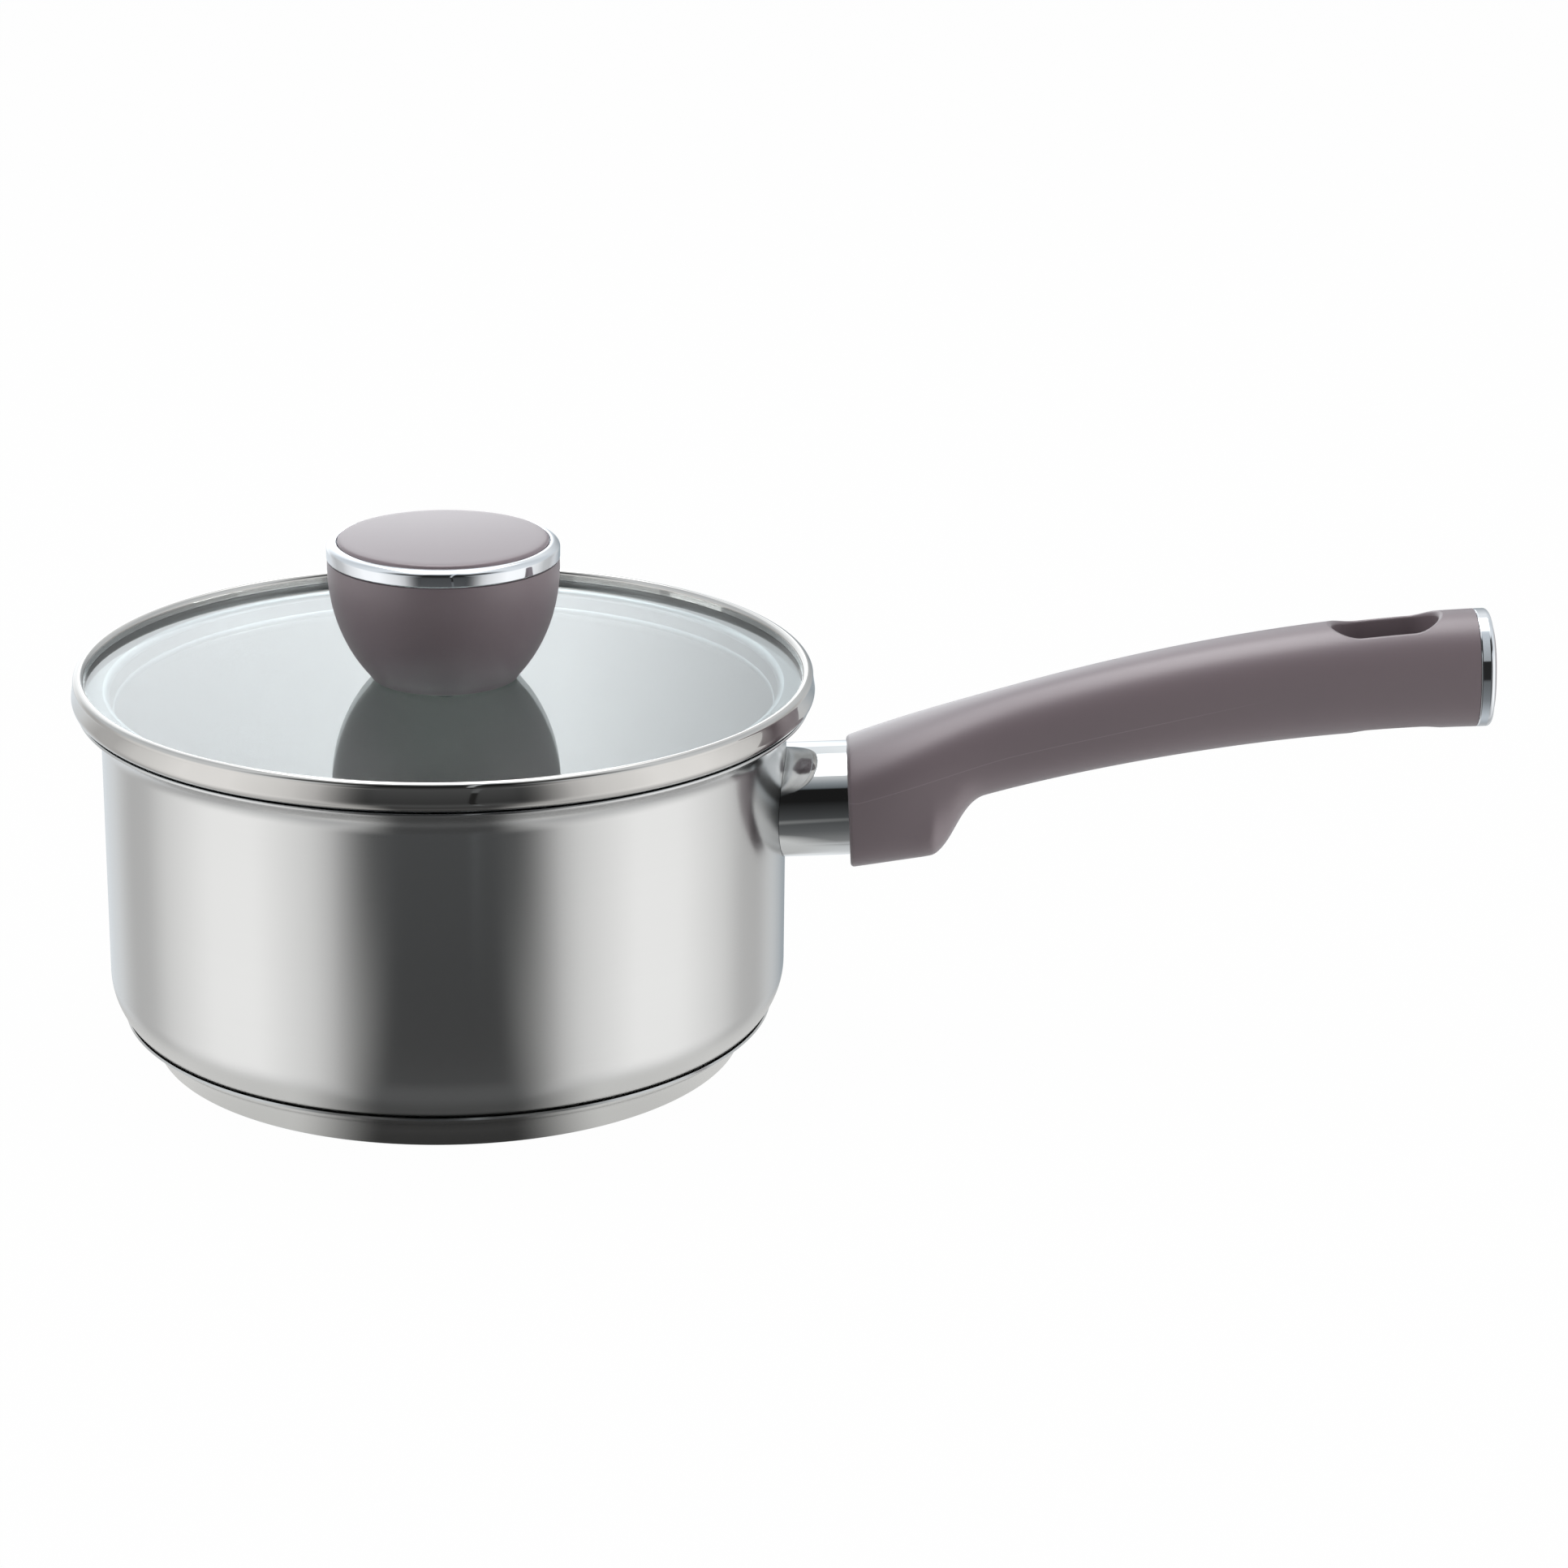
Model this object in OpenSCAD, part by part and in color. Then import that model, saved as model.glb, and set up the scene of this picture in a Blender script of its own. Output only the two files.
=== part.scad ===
// Saucepan with a rimmed glass lid. Millimetres, +Z up.
// The origin is the middle of the base, on the surface that the pan stands on.
// The handle runs along +X. The lid is drawn resting on the pan's rim.

/* [Pan] */
// Inner diameter of the straight wall
pan_inner_d = 160; // [140:1:180]
// Thickness of the steel sheet
pan_wall = 0.8; // [0.6:0.1:1.4]
// Height of the rim above the hob
pan_height = 85.7; // [70:0.1:120]
// How far inside the base's edge the rounded corner of the floor starts
corner_inset = 4.8; // [3:0.1:10]
// How far the pouring rim stands out from the wall
rim_flare = 5.6; // [4.5:0.1:8]
// Bending radius of the pouring rim
rim_bend_r = 6; // [4:0.5:8]
// Angle of the pouring rim from upright
rim_angle = 62; // [50:1:70]

/* [Base] */
// Height of the pan's floor sheet above the hob
base_h = 5; // [4:0.1:8]
// How far the base's edge stands in from the pan's wall
base_inset = 10.2; // [8:0.1:18]
// Thickness of the base cap's sheet
cap_wall = 0.5; // [0.4:0.1:1]
// Height of the cap's lip above the hob
cap_lip_h = 9.8; // [9:0.1:12]
// How far the cap's lip stands off the vessel
cap_lip_gap = 0.4; // [0.1:0.1:1]
// Outward lean of the cap's side
cap_lean = 1.9; // [0.5:0.1:3]
// Edge radius of the cap
cap_edge_r = 1; // [0.6:0.1:2]

/* [Lid] */
// Thickness of the glass
glass_t = 3.6; // [3:0.1:5]
// How far the glass reaches past the pan's rim
glass_over = 0.1; // [0:0.1:1.5]
// Gap between the lid's band and the rim that it rests on
lid_gap = 0.3; // [0.2:0.1:0.5]
// Thickness of the band's sheet
band_wall = 0.6; // [0.4:0.1:0.8]
// Radius of the bead that is rolled over the glass
bead_r = 1.3; // [1:0.1:1.8]
// How far the bead stands above the glass
bead_h = 2.6; // [2.2:0.1:4]
// Play between the pan's wall and the skirt that drops into it
skirt_play = 0.8; // [0.4:0.1:3]
// Depth of the skirt below the band
skirt_h = 5.4; // [3:0.1:12]

/* [Knob] */
// Widest diameter of the knob
knob_d = 54.4; // [44:0.2:64]
// Height of the knob's bowl
knob_h = 29; // [24:0.5:36]
// Diameter of the knob's foot
knob_foot_d = 33.6; // [28:0.2:40]
// Height of the bright ring
knob_ring_h = 3.9; // [3:0.1:6]
// Wall of the hollow knob
knob_wall = 3; // [2:0.1:5]
// Width of the bright ring, seen from above
knob_ring_w = 2.4; // [1.6:0.1:4]
// Crown of the knob's top disc above the ring
knob_crown = 1.5; // [0.8:0.1:3]
// Diameter of the lid screw's shank
lid_screw_d = 5; // [4:0.5:6]
// Length of the lid screw's shank
lid_screw_len = 18; // [14:1:24]

/* [Collar] */
// Height of the collar's axis where it meets the wall, below the rim
collar_drop = 25.5; // [20:0.1:40]
// Width of the oval collar
collar_w = 32; // [26:0.5:36]
// Height of the oval collar
collar_h = 26.6; // [22:0.2:30]
// Thickness of the collar's sheet
collar_wall = 1; // [0.6:0.1:1.5]
// Upward tilt of the collar
collar_tilt = 3; // [0:0.5:6]
// Length of the collar that shows between the wall and the handle
collar_show = 14.8; // [10:0.1:30]

/* [Handle] */
// Length of the handle, without its end ring
grip_len = 147.1; // [120:0.2:170]
// Slope of the handle where it leaves the collar
grip_slope = 0.385; // [0.3:0.005:0.42]
// How far the end sags below the first slope
grip_sag = 24.2; // [16:0.1:28]
// Height of the widest line above the collar's axis, at the mouth
grip_lift = 2.1; // [0:0.1:4]
// Height of the handle above its widest line, at the mouth
grip_up = 11.65; // [10:0.05:16]
// The same height at the free end
grip_up_end = 13.65; // [10:0.05:18]
// Depth of the slim part below its widest line, counted back to the mouth
grip_down = 9.9; // [8:0.1:16]
// The same depth at the free end
grip_down_end = 14; // [10:0.1:18]
// Belly of the underside between the two
grip_belly = 1.7; // [0:0.1:3]
// Half width of the slim part of the handle
grip_half_w = 12; // [11:0.1:15]
// Rounding of the handle's front edge
grip_edge_r = 0.4; // [0.2:0.1:1.5]
// Length of the deep part under the pan end
heel_len = 21.3; // [16:0.1:30]
// Length over which the heel keeps its full width
heel_side = 19.5; // [14:0.1:28]
// Slope of the facets that draw the heel in behind that
heel_facet = 0.9; // [0.4:0.05:1.2]
// Rounding of the ridge between the heel's sides and those facets
heel_ridge = 0.8; // [0.4:0.1:2]
// Wall of the handle's mouth beside the collar
mouth_wall = 1.2; // [0.9:0.1:3]
// Length over which the mouth narrows to the slim part
mouth_taper = 27; // [20:1:40]
// Wall of the heel under the collar
heel_wall = 1.5; // [1:0.1:4]
// Slope of the heel's underside
heel_rise = 0.15; // [0.05:0.01:0.3]
// Slope of the heel's back face
heel_back = 1.73; // [1:0.01:2.5]
// Rounding of the corner under the heel
heel_round = 4; // [1:0.1:6]
// Rounding of the hollow behind the heel
heel_fillet = 4.5; // [1:0.1:8]
// Length of the hang slot
slot_len = 25; // [18:0.5:30]
// Width of the hang slot
slot_w = 13.2; // [9:0.5:14]
// Distance from the middle of the hang slot to the handle's end
slot_inset = 20.1; // [18:0.2:30]
// Width of the bright end ring, seen on its end
end_ring_w = 2; // [1.2:0.1:3]
// Length of the bright end ring
end_ring_len = 3.5; // [2.6:0.1:6]
// Crown of the end disc beyond the ring
end_crown = 1.1; // [0.6:0.1:2.5]

/* [Bracket] */
// Width of the steel tongue inside the handle
tongue_w = 16; // [12:0.5:20]
// Thickness of the tongue
tongue_t = 5; // [4:0.5:6]
// Length of the tongue from the pan's wall
tongue_len = 38; // [32:0.5:46]
// Thickness of the plate that is welded to the wall
plate_t = 1.6; // [1.2:0.1:2.5]
// Diameter of the handle screw's shank
grip_screw_d = 5; // [4:0.5:6]
// Depth of plastic between the tongue and the head of the handle screw
seat_depth = 5.5; // [3:0.5:8]
// Distance from the tongue's end to the handle screw
screw_inset = 10.5; // [8:0.5:14]

/* [Hidden] */

$fn = 96;
fit = 0.1;            // clearance between pieces that are pressed or screwed together
cut = 1;              // how far a cutting shape runs past the face that it opens

pan_r = pan_inner_d / 2 + pan_wall;
lip_r = pan_r + rim_flare;
lip_len = (rim_flare - rim_bend_r * (1 - cos(rim_angle))) / sin(rim_angle);
bend_z = pan_height - rim_bend_r * sin(rim_angle) - lip_len * cos(rim_angle)
         - pan_wall * sin(rim_angle);
corner_r = base_inset + corner_inset;
corner_x = pan_r - corner_r;
corner_z = base_h + corner_r;

band_z = pan_height + lid_gap;
glass_z = band_z + band_wall;
glass_top = glass_z + glass_t;
glass_r = lip_r + glass_over;
skirt_r = pan_inner_d / 2 - skirt_play;
bead_z = glass_top + bead_h - bead_r;
band_r = glass_r + 0.9;
glass_hole_d = lid_screw_d + 4;

steel = "#c9cbcc";
chrome = "#e3e6ea";
mauve = "#6b5f66";

// ---------- shared shapes ----------

// Points of an arc about (x, y), from angle a0 to a1
function arc(x, y, r, a0, a1, n) =
    [for (i = [0:n]) let (a = a0 + (a1 - a0) * i / n) [x + r * cos(a), y + r * sin(a)]];

// Smooth minimum and maximum: the corner between two lines is rounded over k
function smooth_min(a, b, k) = let (h = max(k - abs(a - b), 0) / k) min(a, b) - h * h * k / 4;
function smooth_max(a, b, k) = -smooth_min(-a, -b, k);

// Goes from 1 to 0 as x goes from a to b
function fade(x, a, b) = let (t = min(max((x - a) / (b - a), 0), 1)) 1 - t * t * (3 - 2 * t);

// Skin over a list of rings with equally many points, closed at both ends
module skin(rings) {
    n = len(rings[0]);
    m = len(rings);
    sides = [for (j = [0:m - 2], i = [0:n - 1], k = [0, 1])
        let (a = j * n + i, b = j * n + (i + 1) % n)
        k == 0 ? [a, b + n, b] : [a, a + n, b + n]];
    ends = [[for (i = [0:n - 1]) i], [for (i = [n - 1:-1:0]) (m - 1) * n + i]];
    polyhedron(points = [for (r = rings) each r], faces = concat(sides, ends), convexity = 6);
}

module washer(d, hole_d, t) {
    difference() {
        cylinder(d = d, h = t);
        translate([0, 0, -cut]) cylinder(d = hole_d, h = t + 2 * cut);
    }
}

// ---------- pan ----------

// Outer outline of the vessel, from the middle of the floor to the rim
function vessel_outline(t) = concat(
    [[0, base_h + t]],
    arc(corner_x, corner_z, corner_r - t, -90, 0, 12),
    arc(pan_r + rim_bend_r, bend_z, rim_bend_r + t, 180, 180 - rim_angle, 8),
    [[lip_r - t * cos(rim_angle), pan_height - (pan_wall - t) * sin(rim_angle)]]);

module pan_vessel() {
    outer = vessel_outline(0);
    inner = vessel_outline(pan_wall);
    color(steel) rotate_extrude($fn = 180)
        polygon(concat(outer, [for (i = [len(inner) - 1:-1:0]) inner[i]]));
}

cap_foot_r = pan_r - base_inset;
cap_bend_z = base_h - 0.4;
cap_side_r = cap_foot_r + cap_lean;
cap_r = corner_r + cap_wall + fit / 2;
cap_lip_a = asin((cap_lip_h - corner_z) / cap_r);
cap_turn_a = cap_lip_a - 6;
cap_start_a = -acos((cap_side_r + 1 - corner_x) / cap_r);

module base_core() {
    color("#b9bcbf") translate([0, 0, cap_wall])
        cylinder(r = cap_foot_r - cap_wall - fit, h = base_h - cap_wall - fit / 2);
}

module base_cap() {
    color(steel) rotate_extrude($fn = 180) polygon(concat(
        [[0, 0]],
        arc(cap_foot_r - cap_edge_r, cap_edge_r, cap_edge_r, -90, -10, 5),
        [[cap_side_r, cap_bend_z]],
        arc(corner_x, corner_z, cap_r, cap_start_a, cap_turn_a, 7),
        arc(corner_x, corner_z, cap_r + cap_lip_gap, cap_lip_a - 1, cap_lip_a, 1),
        arc(corner_x, corner_z, cap_r + cap_lip_gap - cap_wall, cap_lip_a, cap_lip_a - 1, 1),
        arc(corner_x, corner_z, cap_r - cap_wall, cap_turn_a, cap_start_a - 3, 7),
        [[cap_foot_r - cap_wall, base_h - 0.3],
         [cap_foot_r - cap_wall, cap_wall], [0, cap_wall]]));
}

// ---------- collar and bracket, on an axis that leaves the wall at collar_tilt ----------

collar_z = pan_height - collar_drop;
socket_depth = 6;
collar_len = collar_show + socket_depth;
screw_x = tongue_len - screw_inset;

module on_collar_axis() {
    translate([pan_r, 0, collar_z]) rotate([0, -collar_tilt, 0]) children();
}

// Oval bar along the axis, from x0 to x1
module oval_bar(w, h, x0, x1) {
    n = 48;
    translate([x0, 0, 0]) rotate([90, 0, 90]) linear_extrude(x1 - x0)
        polygon([for (i = [0:n - 1]) let (a = 360 * i / n) [w / 2 * cos(a), h / 2 * sin(a)]]);
}

module pan_side(r) {
    cylinder(r = r, h = pan_height, $fn = 180);
}

module handle_collar() {
    color(steel) difference() {
        on_collar_axis() difference() {
            oval_bar(collar_w, collar_h, -6, collar_len);
            oval_bar(collar_w - 2 * collar_wall, collar_h - 2 * collar_wall, -8, collar_len + cut);
        }
        pan_side(pan_r + fit / 2);
    }
}

plate_w = collar_w * 0.62;
plate_h = collar_h * 0.58;

module handle_bracket() {
    color("#aeb1b3") difference() {
        on_collar_axis() union() {
            intersection() {
                translate([-6, -plate_w / 2, -plate_h / 2]) cube([12, plate_w, plate_h]);
                translate([-pan_r, 0, -pan_height / 2]) pan_side(pan_r + plate_t);
            }
            translate([-1, -tongue_w / 2, -tongue_t / 2]) cube([tongue_len + 1, tongue_w, tongue_t]);
        }
        pan_side(pan_r + fit / 2);
        on_collar_axis() translate([screw_x, 0, -tongue_t]) cylinder(d = grip_screw_d, h = 2 * tongue_t);
    }
}

// ---------- handle: sections along its length, u from the front face ----------

grip_x = pan_r + collar_show;
mouth_z = collar_z + collar_show * sin(collar_tilt);
grip_z = mouth_z + grip_lift;
end_tilt = 2.8;
section_n = 48;

// Height of the parting line, which is the widest line of each section
function mid_z(u) = grip_z + grip_slope * u - grip_sag * pow(u / grip_len, 2);
// Height of a section above its parting line, and its depth below it in the slim part
function rise_up(u) = grip_up + (grip_up_end - grip_up) * u / grip_len;
function slim_down(u) = let (t = u / grip_len)
    grip_down + (grip_down_end - grip_down) * t + grip_belly * t * (1 - t);

heel_z = mouth_z - collar_h / 2 - heel_wall;
function heel_line(u) = heel_z + heel_rise * u;
function back_line(u) = heel_line(heel_len) + heel_back * (u - heel_len);
function under_z(u) = smooth_min(mid_z(u) - slim_down(u),
                                 smooth_max(heel_line(u), back_line(u), heel_round), heel_fillet);
function drop_down(u) = mid_z(u) - under_z(u);

mouth_half_w = collar_w / 2 + mouth_wall;
function half_w(u) = grip_half_w + (mouth_half_w - grip_half_w) * exp(-pow(u / mouth_taper, 2.5));
function heel_half_w(u) = smooth_max(half_w(u), mouth_half_w * 0.98
                                     - smooth_max(0, u - heel_side, heel_ridge) * heel_facet, mouth_wall);

function tilt(u) = collar_tilt + (end_tilt - collar_tilt) * u / grip_len;

// Half-sections are superellipses: soft above, squarer in the heel
function grip_point(u, a, inset) =
    let (s = sin(a), c = cos(a),
         n = s >= 0 ? 2.3 : 2.3 + 1.3 * fade(u, heel_len * 0.75, heel_len * 1.4),
         share = s >= 0 ? 0 : 1 - pow(1 - s * s, 5),
         wide = half_w(u) + (heel_half_w(u) - half_w(u)) * share - inset,
         tall = (s >= 0 ? rise_up(u) : drop_down(u)) - inset,
         w = wide * sign(c) * pow(abs(c), 2 / n),
         h = tall * sign(s) * pow(abs(s), 2 / n))
    [grip_x + u - h * sin(tilt(u)), w, mid_z(u) + h * cos(tilt(u))];

function grip_ring(u, inset = 0) =
    [for (i = [0:section_n - 1]) grip_point(u, 360 * (i + 0.5) / section_n, inset)];

// The front edge is rounded, then sections stand close over the heel and wide along the grip
front_angles = [0, 30, 60];
heel_steps = [for (i = [1:6]) heel_len * i / 7.6];
back_steps = [for (i = [0:16]) heel_len * (0.84 + 0.045 * i)];
slim_start = heel_len * 1.56;
slim_steps = [for (i = [1:13]) slim_start + (grip_len - slim_start) * i / 14];

module grip_form() {
    skin(concat(
        [for (a = front_angles) grip_ring(grip_edge_r * (1 - cos(a)), grip_edge_r * (1 - sin(a)))],
        [for (u = concat([grip_edge_r], heel_steps, back_steps, slim_steps)) grip_ring(u)],
        [grip_ring(grip_len)]));
}

slot_tilt = 7;

module hang_slot() {
    u = grip_len - slot_inset;
    half = (slot_len - slot_w) / 2;
    translate([grip_x + u, 0, mid_z(u)]) rotate([0, -slot_tilt, 0])
        linear_extrude(2 * collar_h, center = true) {
            for (s = [-1, 1]) translate([s * half, 0]) circle(d = slot_w);
            translate([-half, -slot_w / 2]) square([2 * half, slot_w]);
        }
}

head_d = 1.8 * grip_screw_d;
head_h = 0.55 * grip_screw_d;
lock_t = 1;
seat_z = -tongue_t / 2 - seat_depth;
peg_d = 8;
peg_len = 7;

module handle_grip() {
    color(mauve) difference() {
        grip_form();
        hang_slot();
        on_collar_axis() {
            oval_bar(collar_w + fit, collar_h + fit, collar_show - 3, collar_len + fit);
            translate([0, -tongue_w / 2 - fit, -tongue_t / 2 - fit])
                cube([tongue_len + fit, tongue_w + 2 * fit, tongue_t + 2 * fit]);
            translate([screw_x, 0, seat_z - cut]) 
                cylinder(d = grip_screw_d + 2 * fit, h = seat_depth + tongue_t);
            translate([screw_x, 0, seat_z - collar_h]) cylinder(d = head_d + 1.4, h = collar_h);
        }
        on_end() rotate([0, -90, 0]) translate([0, 0, -cut]) cylinder(d = peg_d + fit, h = peg_len + 2 * cut);
    }
}

module handle_screw() {
    color(steel) on_collar_axis() translate([screw_x, 0, seat_z - lock_t]) {
        cylinder(d = grip_screw_d - fit, h = tongue_t / 2 - seat_z + lock_t);
        difference() {
            translate([0, 0, -head_h]) cylinder(d = head_d, h = head_h);
            for (a = [0, 90]) rotate(a) translate([-head_d / 4, -0.5, -head_h - cut])
                cube([head_d / 2, 1, cut + head_h / 2]);
        }
    }
}

module handle_lock_washer() {
    color(steel) on_collar_axis() translate([screw_x, 0, seat_z - lock_t])
        washer(head_d - 0.4, grip_screw_d + fit, lock_t);
}

// ---------- end of the handle ----------

// x runs outward from the handle's end face, along its tilted normal
module on_end() {
    translate([grip_x + grip_len, 0, mid_z(grip_len)]) rotate([0, -end_tilt, 0]) children();
}

// The handle's end section as a ring at height x of the tilted end frame
function end_section(x, inset) =
    [for (i = [0:section_n - 1])
        let (a = 360 * (i + 0.5) / section_n, s = sin(a), c = cos(a), n = 2.3,
             tall = (s >= 0 ? rise_up(grip_len) : drop_down(grip_len)) - inset)
        [x, (half_w(grip_len) - inset) * sign(c) * pow(abs(c), 2 / n),
         tall * sign(s) * pow(abs(s), 2 / n)]];

module end_prism(x0, x1, inset) {
    skin([end_section(x0, inset), end_section(x1, inset)]);
}

seam = 0.15;          // fine open line between two visible pieces
end_floor = 1.2;      // thickness of the end ring's back wall
end_round = 1.2;      // rounding of the ring's outer edge

module grip_end_ring() {
    color(chrome) on_end() difference() {
        skin(concat(
            [end_section(0, 0.35), end_section(seam, 0.1), end_section(end_ring_len - end_round, 0)],
            [for (a = [30, 60, 90])
                end_section(end_ring_len - end_round * (1 - sin(a)), end_round * (1 - cos(a)))]));
        end_prism(end_floor, end_ring_len + cut, end_ring_w);
        rotate([0, 90, 0]) translate([0, 0, -cut]) cylinder(d = peg_d + fit, h = end_floor + 2 * cut);
    }
}

module grip_end_disc() {
    top = end_ring_len + end_crown;
    color(mauve) on_end() {
        skin(concat(
            [end_section(end_floor, end_ring_w + seam), end_section(end_ring_len, end_ring_w + seam)],
            [for (t = [0.1, 0.25, 0.5, 0.75, 0.95])
                end_section(end_ring_len + end_crown * sqrt(1 - (1 - t) * (1 - t)),
                            end_ring_w + seam + t * (half_w(grip_len) - end_ring_w - 1))]));
        rotate([0, 90, 0]) translate([0, 0, -peg_len]) cylinder(d = peg_d, h = peg_len + end_floor + cut);
    }
}

// ---------- lid ----------

module lid_glass() {
    edge = 0.4;
    color("#dbe6ea", 0.45) translate([0, 0, glass_z]) difference() {
        rotate_extrude($fn = 180) polygon([
            [0, 0], [glass_r - edge, 0], [glass_r, edge], [glass_r, glass_t - edge],
            [glass_r - edge, glass_t], [0, glass_t]]);
        translate([0, 0, -cut]) cylinder(d = glass_hole_d, h = glass_t + 2 * cut);
    }
}

module lid_band() {
    inner_r = skirt_r - band_wall;
    bead_x = band_r - bead_r + 0.05;
    color(steel) rotate_extrude($fn = 180) polygon(concat(
        [[inner_r, band_z - skirt_h], [skirt_r, band_z - skirt_h], [skirt_r, band_z]],
        arc(glass_r - 0.6, band_z + 0.5, 0.5, -90, -40, 3),
        arc(band_r - 2.2, band_z + 2, 2.2, -30, 12, 4),
        arc(bead_x - 0.5, bead_z, bead_r, -15, 180, 12),
        [[glass_r - 2.2, glass_top + fit / 2], [glass_r + fit, glass_top + fit / 2],
         [glass_r + fit, glass_z], [inner_r, glass_z]]));
}

// ---------- knob, standing on the glass ----------

foot_z = glass_top + 0.2;
bowl_r = knob_d / 2;
foot_r = knob_foot_d / 2;
gasket_d = 20;
gasket_t = 1;
insert_d = 9;
insert_len = 12;
boss_r = bowl_r - knob_ring_w - 0.4;
boss_h = 2;
disc_t = knob_ring_h - boss_h;
hub_r = insert_d / 2 + knob_wall;
lid_gasket_d = 15;
lid_washer_d = 14;

// Outline of the bowl: an ellipse that narrows to the foot, with a rounded foot
bowl_mid = knob_h - 2.2;
bowl_b = bowl_mid / sqrt(1 - pow(foot_r / bowl_r, 2));
function bowl_x(z) = bowl_r * sqrt(1 - pow((z - bowl_mid) / bowl_b, 2));

module knob_body() {
    color(mauve) translate([0, 0, foot_z]) difference() {
        rotate_extrude($fn = 120) polygon(concat(
            [[0, 0]],
            [for (a = [-90:22.5:-22.5]) [bowl_x(1) - 1.2 + 1.2 * cos(a), 1.2 + 1.2 * sin(a)]],
            [for (i = [2:14]) let (z = knob_h * i / 14) [bowl_x(z), z - (i == 14 ? 0.25 : 0)]],
            [[bowl_r - 0.6, knob_h], [boss_r, knob_h], [boss_r, knob_h + boss_h], [0, knob_h + boss_h]]));
        translate([0, 0, -cut]) cylinder(d = gasket_d + 2 * fit, h = gasket_t - 0.2 + cut);
        translate([0, 0, -cut]) cylinder(d = insert_d, h = insert_len + gasket_t + cut);
        translate([0, 0, -cut]) cylinder(d = lid_screw_d + 1, h = lid_screw_len + cut);
        translate([0, 0, knob_h + boss_h - peg_len]) cylinder(d = peg_d + fit, h = peg_len + cut);
        rotate_extrude($fn = 120) polygon(concat(
            [[hub_r, knob_wall + gasket_t]],
            [for (i = [0:8]) let (z = knob_wall + gasket_t + (knob_h - 2 * knob_wall - gasket_t) * i / 8)
                [bowl_x(z) - knob_wall, z]],
            [[boss_r - knob_wall, knob_h], [boss_r - knob_wall, knob_h + boss_h + cut],
             [hub_r, knob_h + boss_h + cut]]));
    }
}

module knob_ring() {
    round_w = knob_ring_w - 0.2;
    round_h = 1.6;
    color(chrome) translate([0, 0, foot_z + knob_h]) rotate_extrude($fn = 120) polygon(concat(
        [[boss_r + fit, 0], [bowl_r - 0.6, 0], [bowl_r + 0.05, 0.25],
         [bowl_r + 0.1, knob_ring_h - round_h]],
        [for (a = [15:15:90]) [bowl_r + 0.1 - round_w * (1 - cos(a)),
                               knob_ring_h - round_h * (1 - sin(a))]],
        [[bowl_r + 0.1 - knob_ring_w, knob_ring_h - 0.3], [bowl_r + 0.1 - knob_ring_w, boss_h],
         [boss_r + fit, boss_h]]));
}

module knob_top_disc() {
    r = bowl_r + 0.1 - knob_ring_w - seam;
    edge = 0.8;
    color(mauve) translate([0, 0, foot_z + knob_h + boss_h]) {
        rotate_extrude($fn = 120) polygon(concat(
            [[0, 0], [r, 0], [r, disc_t - 0.1]],
            [for (a = [30, 60, 90]) [r - edge * (1 - cos(a)), disc_t - 0.1 + edge * sin(a)]],
            [for (t = [0.8:-0.2:0]) [r * t, disc_t + 0.7 + (knob_crown - 0.7) * (1 - t * t)]]));
        translate([0, 0, -peg_len + fit]) cylinder(d = peg_d, h = peg_len);
    }
}

module knob_insert() {
    color("#c8a95a") translate([0, 0, foot_z + gasket_t - 0.2])
        washer(insert_d - fit, lid_screw_d, insert_len);
}

module knob_gasket() {
    color("#d9dcdd") translate([0, 0, glass_top]) washer(gasket_d, lid_screw_d + 0.6, gasket_t);
}

// Silicone washer under the glass, with a sleeve that lines the hole
module lid_gasket() {
    color("#d9dcdd") translate([0, 0, glass_z - gasket_t]) difference() {
        union() {
            cylinder(d = lid_gasket_d, h = gasket_t);
            cylinder(d = glass_hole_d - 2 * fit, h = gasket_t + glass_t - fit);
        }
        translate([0, 0, -cut]) cylinder(d = lid_screw_d + 0.6, h = glass_t + gasket_t + 2 * cut);
    }
}

washer_t = 1;

module lid_washer() {
    color(steel) translate([0, 0, glass_z - gasket_t - washer_t])
        washer(lid_washer_d, lid_screw_d + 2 * fit, washer_t);
}

module lid_screw() {
    head_r = 0.95 * lid_screw_d;
    dome = 0.46 * lid_screw_d;
    sphere_r = (head_r * head_r + dome * dome) / (2 * dome);
    color(steel) translate([0, 0, glass_z - gasket_t - washer_t]) {
        cylinder(d = lid_screw_d - fit, h = lid_screw_len);
        difference() {
            intersection() {
                translate([0, 0, sphere_r - dome]) sphere(r = sphere_r);
                translate([0, 0, -dome]) cylinder(r = head_r, h = dome);
            }
            for (a = [0, 90]) rotate(a) translate([-head_r / 2, -0.5, -dome - cut])
                cube([head_r, 1, cut + dome / 2]);
        }
    }
}

pan_vessel();
base_core();
base_cap();
handle_bracket();
handle_collar();
handle_grip();
handle_screw();
handle_lock_washer();
grip_end_ring();
grip_end_disc();
lid_glass();
lid_band();
knob_body();
knob_ring();
knob_top_disc();
knob_insert();
knob_gasket();
lid_gasket();
lid_washer();
lid_screw();
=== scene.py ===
import bpy
import bmesh
import math
from mathutils import Matrix, Vector


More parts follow.
